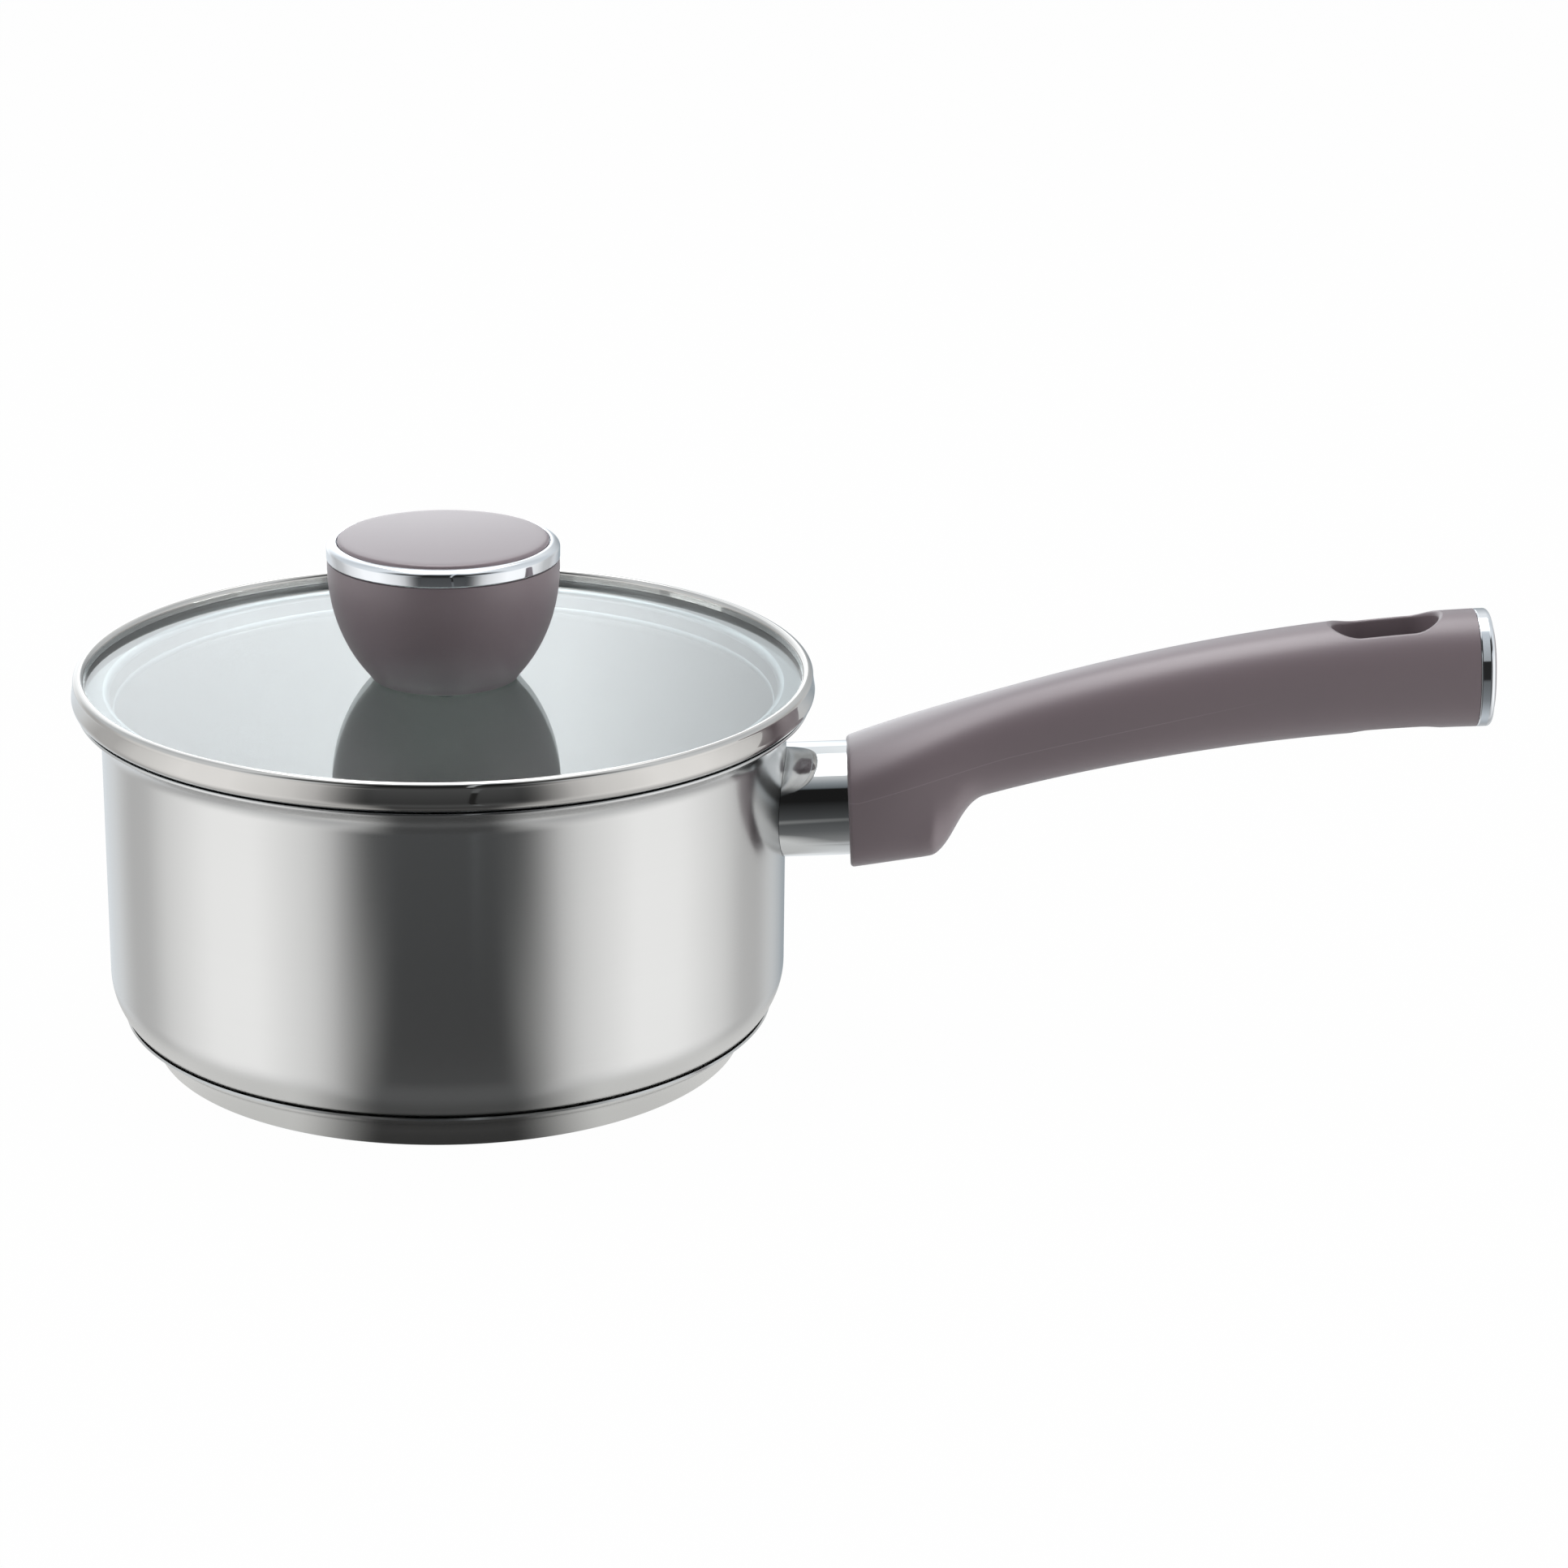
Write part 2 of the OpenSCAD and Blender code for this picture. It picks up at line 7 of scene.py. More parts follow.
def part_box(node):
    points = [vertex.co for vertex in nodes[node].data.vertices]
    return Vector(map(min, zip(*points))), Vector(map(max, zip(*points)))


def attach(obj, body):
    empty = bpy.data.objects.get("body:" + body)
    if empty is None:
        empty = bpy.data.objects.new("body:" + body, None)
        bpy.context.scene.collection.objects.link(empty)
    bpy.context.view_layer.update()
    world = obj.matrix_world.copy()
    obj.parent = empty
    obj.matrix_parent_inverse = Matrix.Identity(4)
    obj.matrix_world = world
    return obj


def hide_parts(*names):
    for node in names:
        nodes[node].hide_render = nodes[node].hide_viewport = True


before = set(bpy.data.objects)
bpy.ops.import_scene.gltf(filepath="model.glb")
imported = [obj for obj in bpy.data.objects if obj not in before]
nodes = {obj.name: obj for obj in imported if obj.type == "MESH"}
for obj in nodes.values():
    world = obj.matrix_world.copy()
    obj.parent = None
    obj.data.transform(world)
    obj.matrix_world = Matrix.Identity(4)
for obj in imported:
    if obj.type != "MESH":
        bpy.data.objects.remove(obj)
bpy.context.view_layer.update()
print("frame loaded,", len(nodes), "solids")

mm = 0.001


def sinDeg(a):
    return math.sin(math.radians(a))


def cosDeg(a):
    return math.cos(math.radians(a))


def arc(x, y, r, a0, a1, n):
    turns = [a0 + (a1 - a0) * i / n for i in range(n + 1)]
    return [(x + r * cosDeg(a), y + r * sinDeg(a)) for a in turns]


def smoothMin(a, b, k):
    h = max(k - abs(a - b), 0) / k
    return min(a, b) - h * h * k / 4


def smoothMax(a, b, k):
    return -smoothMin(-a, -b, k)


def smoothStep(x, a, b):
    t = min(max((x - a) / (b - a), 0), 1)
    return t * t * (3 - 2 * t)


def addObject(name, data):
    obj = bpy.data.objects.new(name, data)
    bpy.context.scene.collection.objects.link(obj)
    return obj


def finishMesh(name, bm, sharpAngle):
    bmesh.ops.remove_doubles(bm, verts=bm.verts, dist=1e-7)
    bmesh.ops.recalc_face_normals(bm, faces=bm.faces)
    mesh = bpy.data.meshes.new(name)
    bm.to_mesh(mesh)
    bm.free()
    mesh.shade_smooth()
    mesh.set_sharp_from_angle(angle=math.radians(sharpAngle))
    return addObject(name, mesh)


def lathe(name, outline, steps=240, lift=0.0, sharpAngle=32):
    # turns a closed outline of (radius, height) in mm round the pan's axis
    bm = bmesh.new()
    rows = []
    for r, z in outline:
        if r < 1e-4:
            rows.append([bm.verts.new((0, 0, (z + lift) * mm))] * steps)
        else:
            turns = [360 * i / steps for i in range(steps)]
            rows.append([bm.verts.new((r * mm * cosDeg(a), r * mm * sinDeg(a), (z + lift) * mm)) for a in turns])
    for j in range(len(rows)):
        a, b = rows[j], rows[(j + 1) % len(rows)]
        if a[0] is a[1] and b[0] is b[1]:
            continue
        for i in range(steps):
            k = (i + 1) % steps
            corners = [a[i], b[i], b[k], a[k]]
            face = [v for n, v in enumerate(corners) if v not in corners[:n]]
            bm.faces.new(face)
    return finishMesh(name, bm, sharpAngle)


def loft(name, rings, loop=False, sharpAngle=32):
    # skins rings of world points in mm; the ends are capped unless the last ring meets the first
    bm = bmesh.new()
    rows = [[bm.verts.new(Vector(p) * mm) for p in ring] for ring in rings]
    n = len(rows[0])
    for j in range(len(rows) - (0 if loop else 1)):
        a, b = rows[j], rows[(j + 1) % len(rows)]
        for i in range(n):
            k = (i + 1) % n
            bm.faces.new((a[i], b[i], b[k], a[k]))
    if not loop:
        bm.faces.new(rows[0])
        bm.faces.new(rows[-1])
    return finishMesh(name, bm, sharpAngle)


def cutAway(obj, cutters, sharpAngle=32):
    for cutter in cutters:
        cut = obj.modifiers.new("cut", "BOOLEAN")
        cut.operation = "DIFFERENCE"
        cut.solver = "EXACT"
        cut.object = cutter
    depsgraph = bpy.context.evaluated_depsgraph_get()
    mesh = bpy.data.meshes.new_from_object(obj.evaluated_get(depsgraph))
    obj.modifiers.clear()
    obj.data = mesh
    mesh.shade_smooth()
    mesh.set_sharp_from_angle(angle=math.radians(sharpAngle))
    for cutter in cutters:
        bpy.data.objects.remove(cutter)


def hexColor(text):
    # sRGB hex to the linear values that the shader wants
    parts = [int(text[i:i + 2], 16) / 255 for i in (0, 2, 4)]
    return tuple(c / 12.92 if c <= 0.04045 else ((c + 0.055) / 1.055) ** 2.4 for c in parts) + (1.0,)


def addNode(tree, kind, settings=None, links=None):
    # a link comes from one output, or from a node, which then gives the first output it shows
    node = tree.nodes.new(kind)
    for key, value in (settings or {}).items():
        if key == "stops":
            setStops(node.color_ramp.elements, value)
        elif isinstance(key, int) or key in node.inputs:
            node.inputs[key].default_value = value
        else:
            setattr(node, key, value)
    for key, source in (links or {}).items():
        if isinstance(source, bpy.types.Node):
            source = next(output for output in source.outputs if output.enabled)
        tree.links.new(source, node.inputs[key])
    return node


def setStops(elements, stops):
    while len(elements) < len(stops):
        elements.new(0.5)
    for element, (position, color) in zip(elements, stops):
        element.position = position
        element.color = color


def softCover(tree, source, rise=None, fall=None):
    # 1 past the rise and before the fall, with soft edges that each run from a first value to a second
    covers = []
    for edge, before, after in ((rise, 0.0, 1.0), (fall, 1.0, 0.0)):
        if edge:
            covers.append(addNode(tree, "ShaderNodeMapRange", {
                "From Min": edge[0], "From Max": edge[1], "To Min": before, "To Max": after}, {"Value": source}))
    if len(covers) == 1:
        return covers[0]
    return addNode(tree, "ShaderNodeMath", {"operation": "MULTIPLY"}, {0: covers[0], 1: covers[1]})


def startTree(name):
    material = bpy.data.materials.new(name)
    material.use_nodes = True
    material.node_tree.nodes.clear()
    return material, material.node_tree


def endMaterial(tree, settings, links):
    surface = addNode(tree, "ShaderNodeBsdfPrincipled", settings, links)
    addNode(tree, "ShaderNodeOutputMaterial", links={"Surface": surface})


def turnedCoordinates(tree, aroundScale):
    # radius, height and a slow turn round the axis, so that a noise drawn on them gives turned lines
    split = addNode(tree, "ShaderNodeSeparateXYZ", links={0: addNode(tree, "ShaderNodeTexCoord").outputs["Object"]})
    flat = addNode(tree, "ShaderNodeCombineXYZ", links={"X": split.outputs["X"], "Y": split.outputs["Y"]})
    radius = addNode(tree, "ShaderNodeVectorMath", {"operation": "LENGTH"}, {0: flat})
    turn = addNode(tree, "ShaderNodeVectorMath", {"operation": "NORMALIZE"}, {0: flat})
    slow = addNode(tree, "ShaderNodeVectorMath", {"operation": "SCALE", "Scale": aroundScale}, {0: turn})
    place = addNode(tree, "ShaderNodeCombineXYZ", links={"X": radius, "Y": split.outputs["Z"]})
    return addNode(tree, "ShaderNodeVectorMath", {"operation": "ADD"}, {0: place, 1: slow})


brushedWall = {
    "color": "D6D6D5", "cloudColor": "D0D0CF", "roughness": 0.19, "roughnessSpread": 0.03, "anisotropic": 0.78,
    "lineSpacing": 0.35,    # mm; the real lines are about 0.05 mm apart and would only shimmer
    "lineDepth": 0.0006,    # mm
    "lineRun": 0.0012,      # how fast a line changes round the pot, so that it reads as a long stroke
}


def makeBrushedSteel(name, finish):
    # satin steel brushed round the pot: reflections smear up and down and stay fairly sharp from side to side
    material, tree = startTree(name)
    place = turnedCoordinates(tree, finish["lineRun"])
    lines = addNode(tree, "ShaderNodeTexNoise", {
        "Scale": 1000 / finish["lineSpacing"] / 2, "Detail": 3.0, "Roughness": 0.6}, {"Vector": place})
    spread = addNode(tree, "ShaderNodeMapRange", {
        "To Min": finish["roughness"] - finish["roughnessSpread"],
        "To Max": finish["roughness"] + finish["roughnessSpread"]}, {"Value": lines})
    clouds = addNode(tree, "ShaderNodeTexNoise", {"Scale": 22.0, "Detail": 2.0}, {"Vector": place})
    tint = addNode(tree, "ShaderNodeMix", {
        "data_type": "RGBA", "A": hexColor(finish["color"]), "B": hexColor(finish["cloudColor"])},
        {"Factor": clouds})
    bump = addNode(tree, "ShaderNodeBump", {"Distance": finish["lineDepth"] * mm}, {"Height": lines})
    tangent = addNode(tree, "ShaderNodeTangent", {"direction_type": "RADIAL", "axis": "Z"})
    endMaterial(tree, {
        "Base Color": hexColor(finish["color"]), "Metallic": 1.0, "Roughness": finish["roughness"],
        "Anisotropic": finish["anisotropic"], "Anisotropic Rotation": 0.25},
        {"Base Color": tint, "Roughness": spread, "Normal": bump, "Tangent": tangent})
    return material


def makePolishedMetal(name, color, roughness, hazeColor):
    # bright metal with the faint haze that a buffing wheel leaves
    material, tree = startTree(name)
    place = addNode(tree, "ShaderNodeTexCoord").outputs["Object"]
    haze = addNode(tree, "ShaderNodeTexNoise", {"Scale": 90.0, "Detail": 4.0}, {"Vector": place})
    spread = addNode(tree, "ShaderNodeMapRange", {
        "From Min": 0.3, "From Max": 0.7, "To Min": roughness * 0.9, "To Max": roughness * 1.12},
        {"Value": haze})
    tint = addNode(tree, "ShaderNodeMix", {"data_type": "RGBA", "A": hexColor(color), "B": hexColor(hazeColor)}, {
        "Factor": haze})
    endMaterial(tree, {"Base Color": hexColor(color), "Metallic": 1.0, "Roughness": roughness},
                {"Base Color": tint, "Roughness": spread})
    return material


softTouch = {
    "color": "7C7076", "warmColor": "7F7277", "roughness": 0.38, "shine": 0.6,
    "bloom": 0.6, "bloomRoughness": 0.45,    # the pale sheen that the soft paint shows at a low angle
    "grainSize": 0.3,       # mm; the mould's matt grain, drawn about three times coarser
    "grainDepth": 0.0035,   # mm
}
# where the two halves of the handle's mould meet: a painted highlight, a fine light line that climbs along its side in
# place of the light its seam ridge catches
partingHighlight = {
    "startX": 97.8, "bendX": 132.5, "endX": 197.1, "startZ": 65.2, "bendZ": 75.4, "climbAfterBend": 15.7,
    "core": 0.05, "edge": 0.16,             # half of its width, full and faded
    "fadeStartX": 170, "fadeEndX": 195, "strength": 0.22, "color": "B5A9AE",
}


def addPartingHighlight(tree, place, color):
    # a painted highlight: lightens the color where the height is close to the line's own height
    line = partingHighlight
    split = addNode(tree, "ShaderNodeSeparateXYZ", links={0: place})
    x, z = split.outputs["X"], split.outputs["Z"]
    steep = addNode(tree, "ShaderNodeMapRange", {
        "From Min": line["startX"] * mm, "From Max": line["bendX"] * mm,
        "To Min": line["startZ"] * mm, "To Max": line["bendZ"] * mm}, {"Value": x})
    gentle = addNode(tree, "ShaderNodeMapRange", {
        "From Min": line["bendX"] * mm, "From Max": line["endX"] * mm,
        "To Min": 0.0, "To Max": line["climbAfterBend"] * mm}, {"Value": x})
    lineZ = addNode(tree, "ShaderNodeMath", {"operation": "ADD"}, {0: steep, 1: gentle})
    miss = addNode(tree, "ShaderNodeMath", {"operation": "SUBTRACT"}, {0: z, 1: lineZ})
    away = addNode(tree, "ShaderNodeMath", {"operation": "ABSOLUTE"}, {0: miss})
    near = softCover(tree, away, fall=(line["core"] * mm, line["edge"] * mm))
    ends = softCover(tree, x, fall=(line["fadeStartX"] * mm, line["fadeEndX"] * mm))
    seen = addNode(tree, "ShaderNodeMath", {"operation": "MULTIPLY"}, {0: near, 1: ends})
    faint = addNode(tree, "ShaderNodeMath", {"operation": "MULTIPLY", 1: line["strength"]}, {0: seen})
    return addNode(tree, "ShaderNodeMix", {"data_type": "RGBA", "B": hexColor(line["color"])}, {
        "Factor": faint, "A": color})


def makeSoftTouchPlastic(name, finish, withSeamHighlight=False):
    # matt mauve plastic from a grained mould: a dull sheen on top, and on the handle a painted highlight along the fine
    # parting line
    material, tree = startTree(name)
    place = addNode(tree, "ShaderNodeTexCoord").outputs["Object"]
    grain = addNode(tree, "ShaderNodeTexNoise", {
        "Scale": 1000 / finish["grainSize"] / 2, "Detail": 2.0}, {"Vector": place})
    clouds = addNode(tree, "ShaderNodeTexNoise", {"Scale": 35.0, "Detail": 3.0}, {"Vector": place})
    tint = addNode(tree, "ShaderNodeMix", {
        "data_type": "RGBA", "A": hexColor(finish["color"]), "B": hexColor(finish["warmColor"])},
        {"Factor": clouds})
    if withSeamHighlight:
        tint = addPartingHighlight(tree, place, tint)
    bump = addNode(tree, "ShaderNodeBump", {"Distance": finish["grainDepth"] * mm}, {"Height": grain})
    endMaterial(tree, {
        "Base Color": hexColor(finish["color"]), "Roughness": finish["roughness"],
        "Specular IOR Level": finish["shine"], "Coat Weight": finish["bloom"],
        "Coat Roughness": finish["bloomRoughness"]}, {"Base Color": tint, "Normal": bump})
    return material


def makeLidGlass(name):
    # tempered flat glass, clear with a cold grey cast; faint waviness is all that shows on its face
    material, tree = startTree(name)
    place = addNode(tree, "ShaderNodeTexCoord").outputs["Object"]
    wave = addNode(tree, "ShaderNodeTexNoise", {"Scale": 30.0, "Detail": 1.0}, {"Vector": place})
    bump = addNode(tree, "ShaderNodeBump", {"Distance": 0.0015 * mm}, {"Height": wave})
    endMaterial(tree, {
        "Base Color": hexColor("E2E9E9"), "Roughness": 0.012, "IOR": 1.5, "Transmission Weight": 1.0}, {"Normal": bump})
    return material


def makeSilicone(name):
    # cast silicone: milky, dull, and a little light goes in
    material, tree = startTree(name)
    place = addNode(tree, "ShaderNodeTexCoord").outputs["Object"]
    dust = addNode(tree, "ShaderNodeTexNoise", {"Scale": 700.0, "Detail": 2.0}, {"Vector": place})
    spread = addNode(tree, "ShaderNodeMapRange", {"To Min": 0.48, "To Max": 0.62}, {"Value": dust})
    endMaterial(tree, {
        "Base Color": hexColor("DDE0E1"), "Roughness": 0.55, "Transmission Weight": 0.35, "IOR": 1.41},
        {"Roughness": spread})
    return material


brushedSteel = makeBrushedSteel("brushedSteelWall", brushedWall)
baseSteel = makeBrushedSteel("turnedSteelBase", dict(brushedWall, color="D0D0CE", roughness=0.22, anisotropic=0.6))
collarSteel = makePolishedMetal("buffedSteelCollar", "D6D8D8", 0.045, "CDCFD0")
bandSteel = makePolishedMetal("buffedSteelBand", "CDCBC8", 0.05, "C4C2BF")
# the band's flange and skirt: the same steel in a darker colour, a painted shade
flangeSteelPaintedShade = makePolishedMetal("pressedSteelFlangePaintedShade", "85888A", 0.42, "7E8183")
# the band's edges: the same steel in a lighter colour, a painted highlight
edgeSteelPaintedHighlight = makePolishedMetal("steelEdgePaintedHighlight", "C2C7CA", 0.46, "BBC0C3")
# the pot's inside: its colour a little darker than the wall's, a painted shade
insideSteelPaintedShade = makePolishedMetal("satinSteelInsidePaintedShade", "CECECC", 0.36, "CACAC8")
chromePlate = makePolishedMetal("chromePlatedTrim", "E6E9EC", 0.04, "E0E3E7")
screwSteel = makePolishedMetal("turnedScrewSteel", "C4C4C2", 0.24, "B5B5B4")
bracketSteel = makePolishedMetal("pressedBracketSteel", "B9BABA", 0.3, "A9ABAC")
coreAluminium = makePolishedMetal("rolledAluminiumCore", "C9CBCD", 0.38, "BFC1C3")
insertBrass = makePolishedMetal("machinedBrassInsert", "C9A85C", 0.28, "BE9C50")
mauvePlastic = makeSoftTouchPlastic("softTouchPlastic", softTouch)
mauveHandle = makeSoftTouchPlastic("softTouchHandlePlastic", softTouch, withSeamHighlight=True)
clearGlass = makeLidGlass("temperedLidGlass")
silicone = makeSilicone("castSilicone")
print("finishes made")


def place(obj, material, body, node, slot):
    obj.data.materials.clear()
    obj.data.materials.append(material)
    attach(obj, body)
    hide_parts(node)
    return obj


# every length of the object is in mm and every angle in degrees
pan = {
    "radius": 80.8, "wall": 0.8, "cornerRadius": 15, "baseHeight": 5,
    "flare": 5.6, "bendRadius": 6, "rimAngle": 62,    # the pouring lip
}
pan["height"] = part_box("pan_vessel")[1].z / mm
pan["lip"] = pan["radius"] + pan["flare"]
pan["cornerX"] = pan["radius"] - pan["cornerRadius"]
pan["cornerZ"] = pan["baseHeight"] + pan["cornerRadius"]


def panSkin(t):
    s, c = sinDeg(pan["rimAngle"]), cosDeg(pan["rimAngle"])
    lipLength = (pan["flare"] - pan["bendRadius"] * (1 - c)) / s
    bendZ = pan["height"] - pan["bendRadius"] * s - lipLength * c - pan["wall"] * s
    skin = [(0, pan["baseHeight"] + t), (pan["cornerX"] / 2, pan["baseHeight"] + t)]
    skin += arc(pan["cornerX"], pan["cornerZ"], pan["cornerRadius"] - t, -90, 0, 28)
    skin += [(pan["radius"] - t, pan["cornerZ"] + (bendZ - pan["cornerZ"]) * i / 4) for i in (1, 2, 3)]
    skin += arc(pan["radius"] + pan["bendRadius"], bendZ, pan["bendRadius"] + t, 180, 180 - pan["rimAngle"], 18)
    return skin


def rimEdge():
    # the cut edge of the lip, ground round
    s, c = sinDeg(pan["rimAngle"]), cosDeg(pan["rimAngle"])
    r = pan["wall"] / 2
    x = pan["lip"] - r * c - r * s
    z = pan["height"] - r * s - r * c
    return arc(x, z, r, -pan["rimAngle"], 180 - pan["rimAngle"], 8)


vessel = lathe("panVessel", panSkin(0) + rimEdge() + list(reversed(panSkin(pan["wall"]))), steps=320)
place(vessel, brushedSteel, "pan", "pan_vessel", "satin_steel")
vessel.data.materials.append(insideSteelPaintedShade)
for face in vessel.data.polygons:
    # the inside has a plain satin polish, darker to the eye because it mirrors the lid; its colour is also a little
    # darker than the wall's, a painted shade for the dim inside of the pot
    outward = face.normal.xy.dot(face.center.xy.normalized())
    if outward < -0.15 or (face.normal.z > 0.5 and face.center.xy.length < (pan["radius"] - pan["wall"]) * mm):
        face.material_index = 1

base = {
    "inset": 10.2, "lean": 1.9, "edgeRadius": 1, "wall": 0.5, "fit": 0.1,
    "bendDrop": 0.4, "innerDrop": 0.3,                   # where its side turns into the lip
    "lipHeight": 9.8, "lipGap": 0.4, "lipCurl": 6,       # the lip stands off the pot over its last degrees
}


def baseOutline():
    foot = pan["radius"] - base["inset"]
    side = foot + base["lean"]
    bendZ = pan["baseHeight"] - base["bendDrop"]
    r = pan["cornerRadius"] + base["wall"] + base["fit"] / 2
    lipAngle = math.degrees(math.asin((base["lipHeight"] - pan["cornerZ"]) / r))
    startAngle = -math.degrees(math.acos((side + 1 - pan["cornerX"]) / r))
    x, z = pan["cornerX"], pan["cornerZ"]
    line = [(0, 0), (foot * 0.5, 0)]
    line += arc(foot - base["edgeRadius"], base["edgeRadius"], base["edgeRadius"], -90, -10, 8)
    line += [(side, bendZ)]
    line += arc(x, z, r, startAngle, lipAngle - base["lipCurl"], 14)
    line += arc(x, z, r + base["lipGap"], lipAngle - 1.2, lipAngle - 0.4, 2)
    line += arc(x, z, r + base["lipGap"] - base["wall"], lipAngle, lipAngle - 1, 2)
    line += arc(x, z, r - base["wall"], lipAngle - base["lipCurl"], startAngle - 3, 14)
    line += [(foot - base["wall"], pan["baseHeight"] - base["innerDrop"]), (foot - base["wall"], base["wall"])]
    line += [(0, base["wall"])]
    return line


cap = lathe("baseCap", baseOutline(), steps=320)
place(cap, baseSteel, "pan", "base_cap", "base_steel")
print("pan and base turned")

# the polished tube between pan and handle
collar = {"drop": 25.5, "width": 32, "height": 26.6, "wall": 1, "tilt": 3, "show": 14.8, "socket": 6}
collar["z"] = pan["height"] - collar["drop"]


def onCollar(x, y, z):
    s, c = sinDeg(collar["tilt"]), cosDeg(collar["tilt"])
    return Vector((pan["radius"] + x * c - z * s, y, collar["z"] + x * s + z * c))


def collarRing(x, inset, steps=256, toWall=False):
    ring = []
    for i in range(steps):
        y = (collar["width"] / 2 - inset) * cosDeg(360 * i / steps)
        z = (collar["height"] / 2 - inset) * sinDeg(360 * i / steps)
        if toWall:
            # slides back along the tube until it touches the round wall
            reach = math.sqrt((pan["radius"] + 0.05) ** 2 - y * y)
            ring.append(onCollar((reach - pan["radius"] + z * sinDeg(collar["tilt"])) / cosDeg(collar["tilt"]), y, z))
        else:
            ring.append(onCollar(x, y, z))
    return ring


collarEnd = collar["show"] + collar["socket"]
tube = loft("handleCollar", [collarRing(0, 0, toWall=True)] + [collarRing(x, 0) for x in (4, 9, 14, collarEnd)]
            + [collarRing(collarEnd, collar["wall"]), collarRing(3, collar["wall"]),
               collarRing(0, collar["wall"], toWall=True)], loop=True)
place(tube, collarSteel, "pan", "handle_collar", "polished_steel")

grip = {
    "length": 147.1, "slope": 0.385, "sag": 24.2, "lift": 2.1,    # its bent middle line
    "up": 11.65, "upEnd": 13.65, "down": 9.9, "downEnd": 14, "belly": 1.7, "halfWidth": 12,
    "squareness": 2.3,                                            # 2 would be a plain ellipse
    "mouthWall": 1.2, "mouthTaper": 27, "mouthTaperPower": 2.5, "mouthRound": 0.9,
    "heelLength": 21.3, "heelWall": 1.5, "heelRise": 0.15, "heelBack": 1.73, "heelRound": 4, "heelFillet": 4.5,
    "heelSide": 19.5, "heelSlope": 0.9, "heelWidth": 0.98, "heelSideRound": 0.8,
    "heelSquareness": 3.6, "heelSquareFrom": 0.75, "heelSquareTo": 1.4, "heelSpread": 5,
    "endTilt": 2.8, "around": 160,
}
grip["x"] = pan["radius"] + collar["show"]
mouthZ = collar["z"] + collar["show"] * sinDeg(collar["tilt"])
grip["z"] = mouthZ + grip["lift"]
mouthHalfWidth = collar["width"] / 2 + grip["mouthWall"]


def midZ(u):
    return grip["z"] + grip["slope"] * u - grip["sag"] * (u / grip["length"]) ** 2


def riseUp(u):
    return grip["up"] + (grip["upEnd"] - grip["up"]) * u / grip["length"]


def dropDown(u):
    t = u / grip["length"]
    slim = midZ(u) - (grip["down"] + (grip["downEnd"] - grip["down"]) * t + grip["belly"] * t * (1 - t))
    heelZ = mouthZ - collar["height"] / 2 - grip["heelWall"]
    heelLine = heelZ + grip["heelRise"] * u
    backLine = heelZ + grip["heelRise"] * grip["heelLength"] + grip["heelBack"] * (u - grip["heelLength"])
    return midZ(u) - smoothMin(slim, smoothMax(heelLine, backLine, grip["heelRound"]), grip["heelFillet"])


def halfWidth(u):
    taper = math.exp(-(max(u, 0) / grip["mouthTaper"]) ** grip["mouthTaperPower"])
    return grip["halfWidth"] + (mouthHalfWidth - grip["halfWidth"]) * taper


def heelHalfWidth(u):
    past = smoothMax(0, u - grip["heelSide"], grip["heelSideRound"])
    return smoothMax(halfWidth(u), mouthHalfWidth * grip["heelWidth"] - past * grip["heelSlope"], grip["mouthWall"])


def tiltAt(u):
    return collar["tilt"] + (grip["endTilt"] - collar["tilt"]) * u / grip["length"]


def squared(v, n):
    # pushes a sine or cosine out, for a rounded square of squareness n
    return math.copysign(abs(v) ** (2 / n), v)


def gripPoint(u, a, inset=0.0):
    s, c = sinDeg(a), cosDeg(a)
    n = grip["squareness"]
    if s < 0:
        slimmed = smoothStep(u, grip["heelLength"] * grip["heelSquareFrom"], grip["heelLength"] * grip["heelSquareTo"])
        n = grip["heelSquareness"] - (grip["heelSquareness"] - grip["squareness"]) * slimmed
    heelShare = 1 - (1 - s * s) ** grip["heelSpread"] if s < 0 else 0
    wide = halfWidth(u) + (heelHalfWidth(u) - halfWidth(u)) * heelShare - inset
    tall = (riseUp(u) if s >= 0 else dropDown(u)) - inset
    h = tall * squared(s, n)
    return Vector((grip["x"] + u - h * sinDeg(tiltAt(u)), wide * squared(c, n), midZ(u) + h * cosDeg(tiltAt(u))))


def gripRing(u, inset=0.0):
    return [gripPoint(u, 360 * (i + 0.5) / grip["around"], inset) for i in range(grip["around"])]


def gripSurfaceZ(x, y, side):
    # height of the grip's upper (side 1) or lower (side -1) surface over a point
    u = x - grip["x"]
    for _ in range(6):
        n = grip["squareness"]
        c = min(abs(y) / halfWidth(u), 0.999) ** (n / 2)
        h = side * (riseUp(u) if side > 0 else dropDown(u)) * math.sqrt(1 - c * c) ** (2 / n)
        u = x - grip["x"] + h * sinDeg(tiltAt(u))
    return midZ(u) + h * cosDeg(tiltAt(u))


slotCut = {
    "length": 25, "width": 13.2, "inset": 20.1, "tilt": 7, "round": 1.4, "roundBelow": 0.35, "reach": 30, "around": 120,
}


def slotPoint(i, grow):
    # a round-ended slot outline, walked at even steps
    r = slotCut["width"] / 2
    half = (slotCut["length"] - slotCut["width"]) / 2
    q = slotCut["around"] // 4
    if i < q:
        return half * (1 - 2 * i / q), r + grow
    if i < 2 * q:
        a = 90 + 180 * (i - q) / q
        return -half + (r + grow) * cosDeg(a), (r + grow) * sinDeg(a)
    if i < 3 * q:
        return half * (2 * (i - 2 * q) / q - 1), -r - grow
    a = -90 + 180 * (i - 3 * q) / q
    return half + (r + grow) * cosDeg(a), (r + grow) * sinDeg(a)


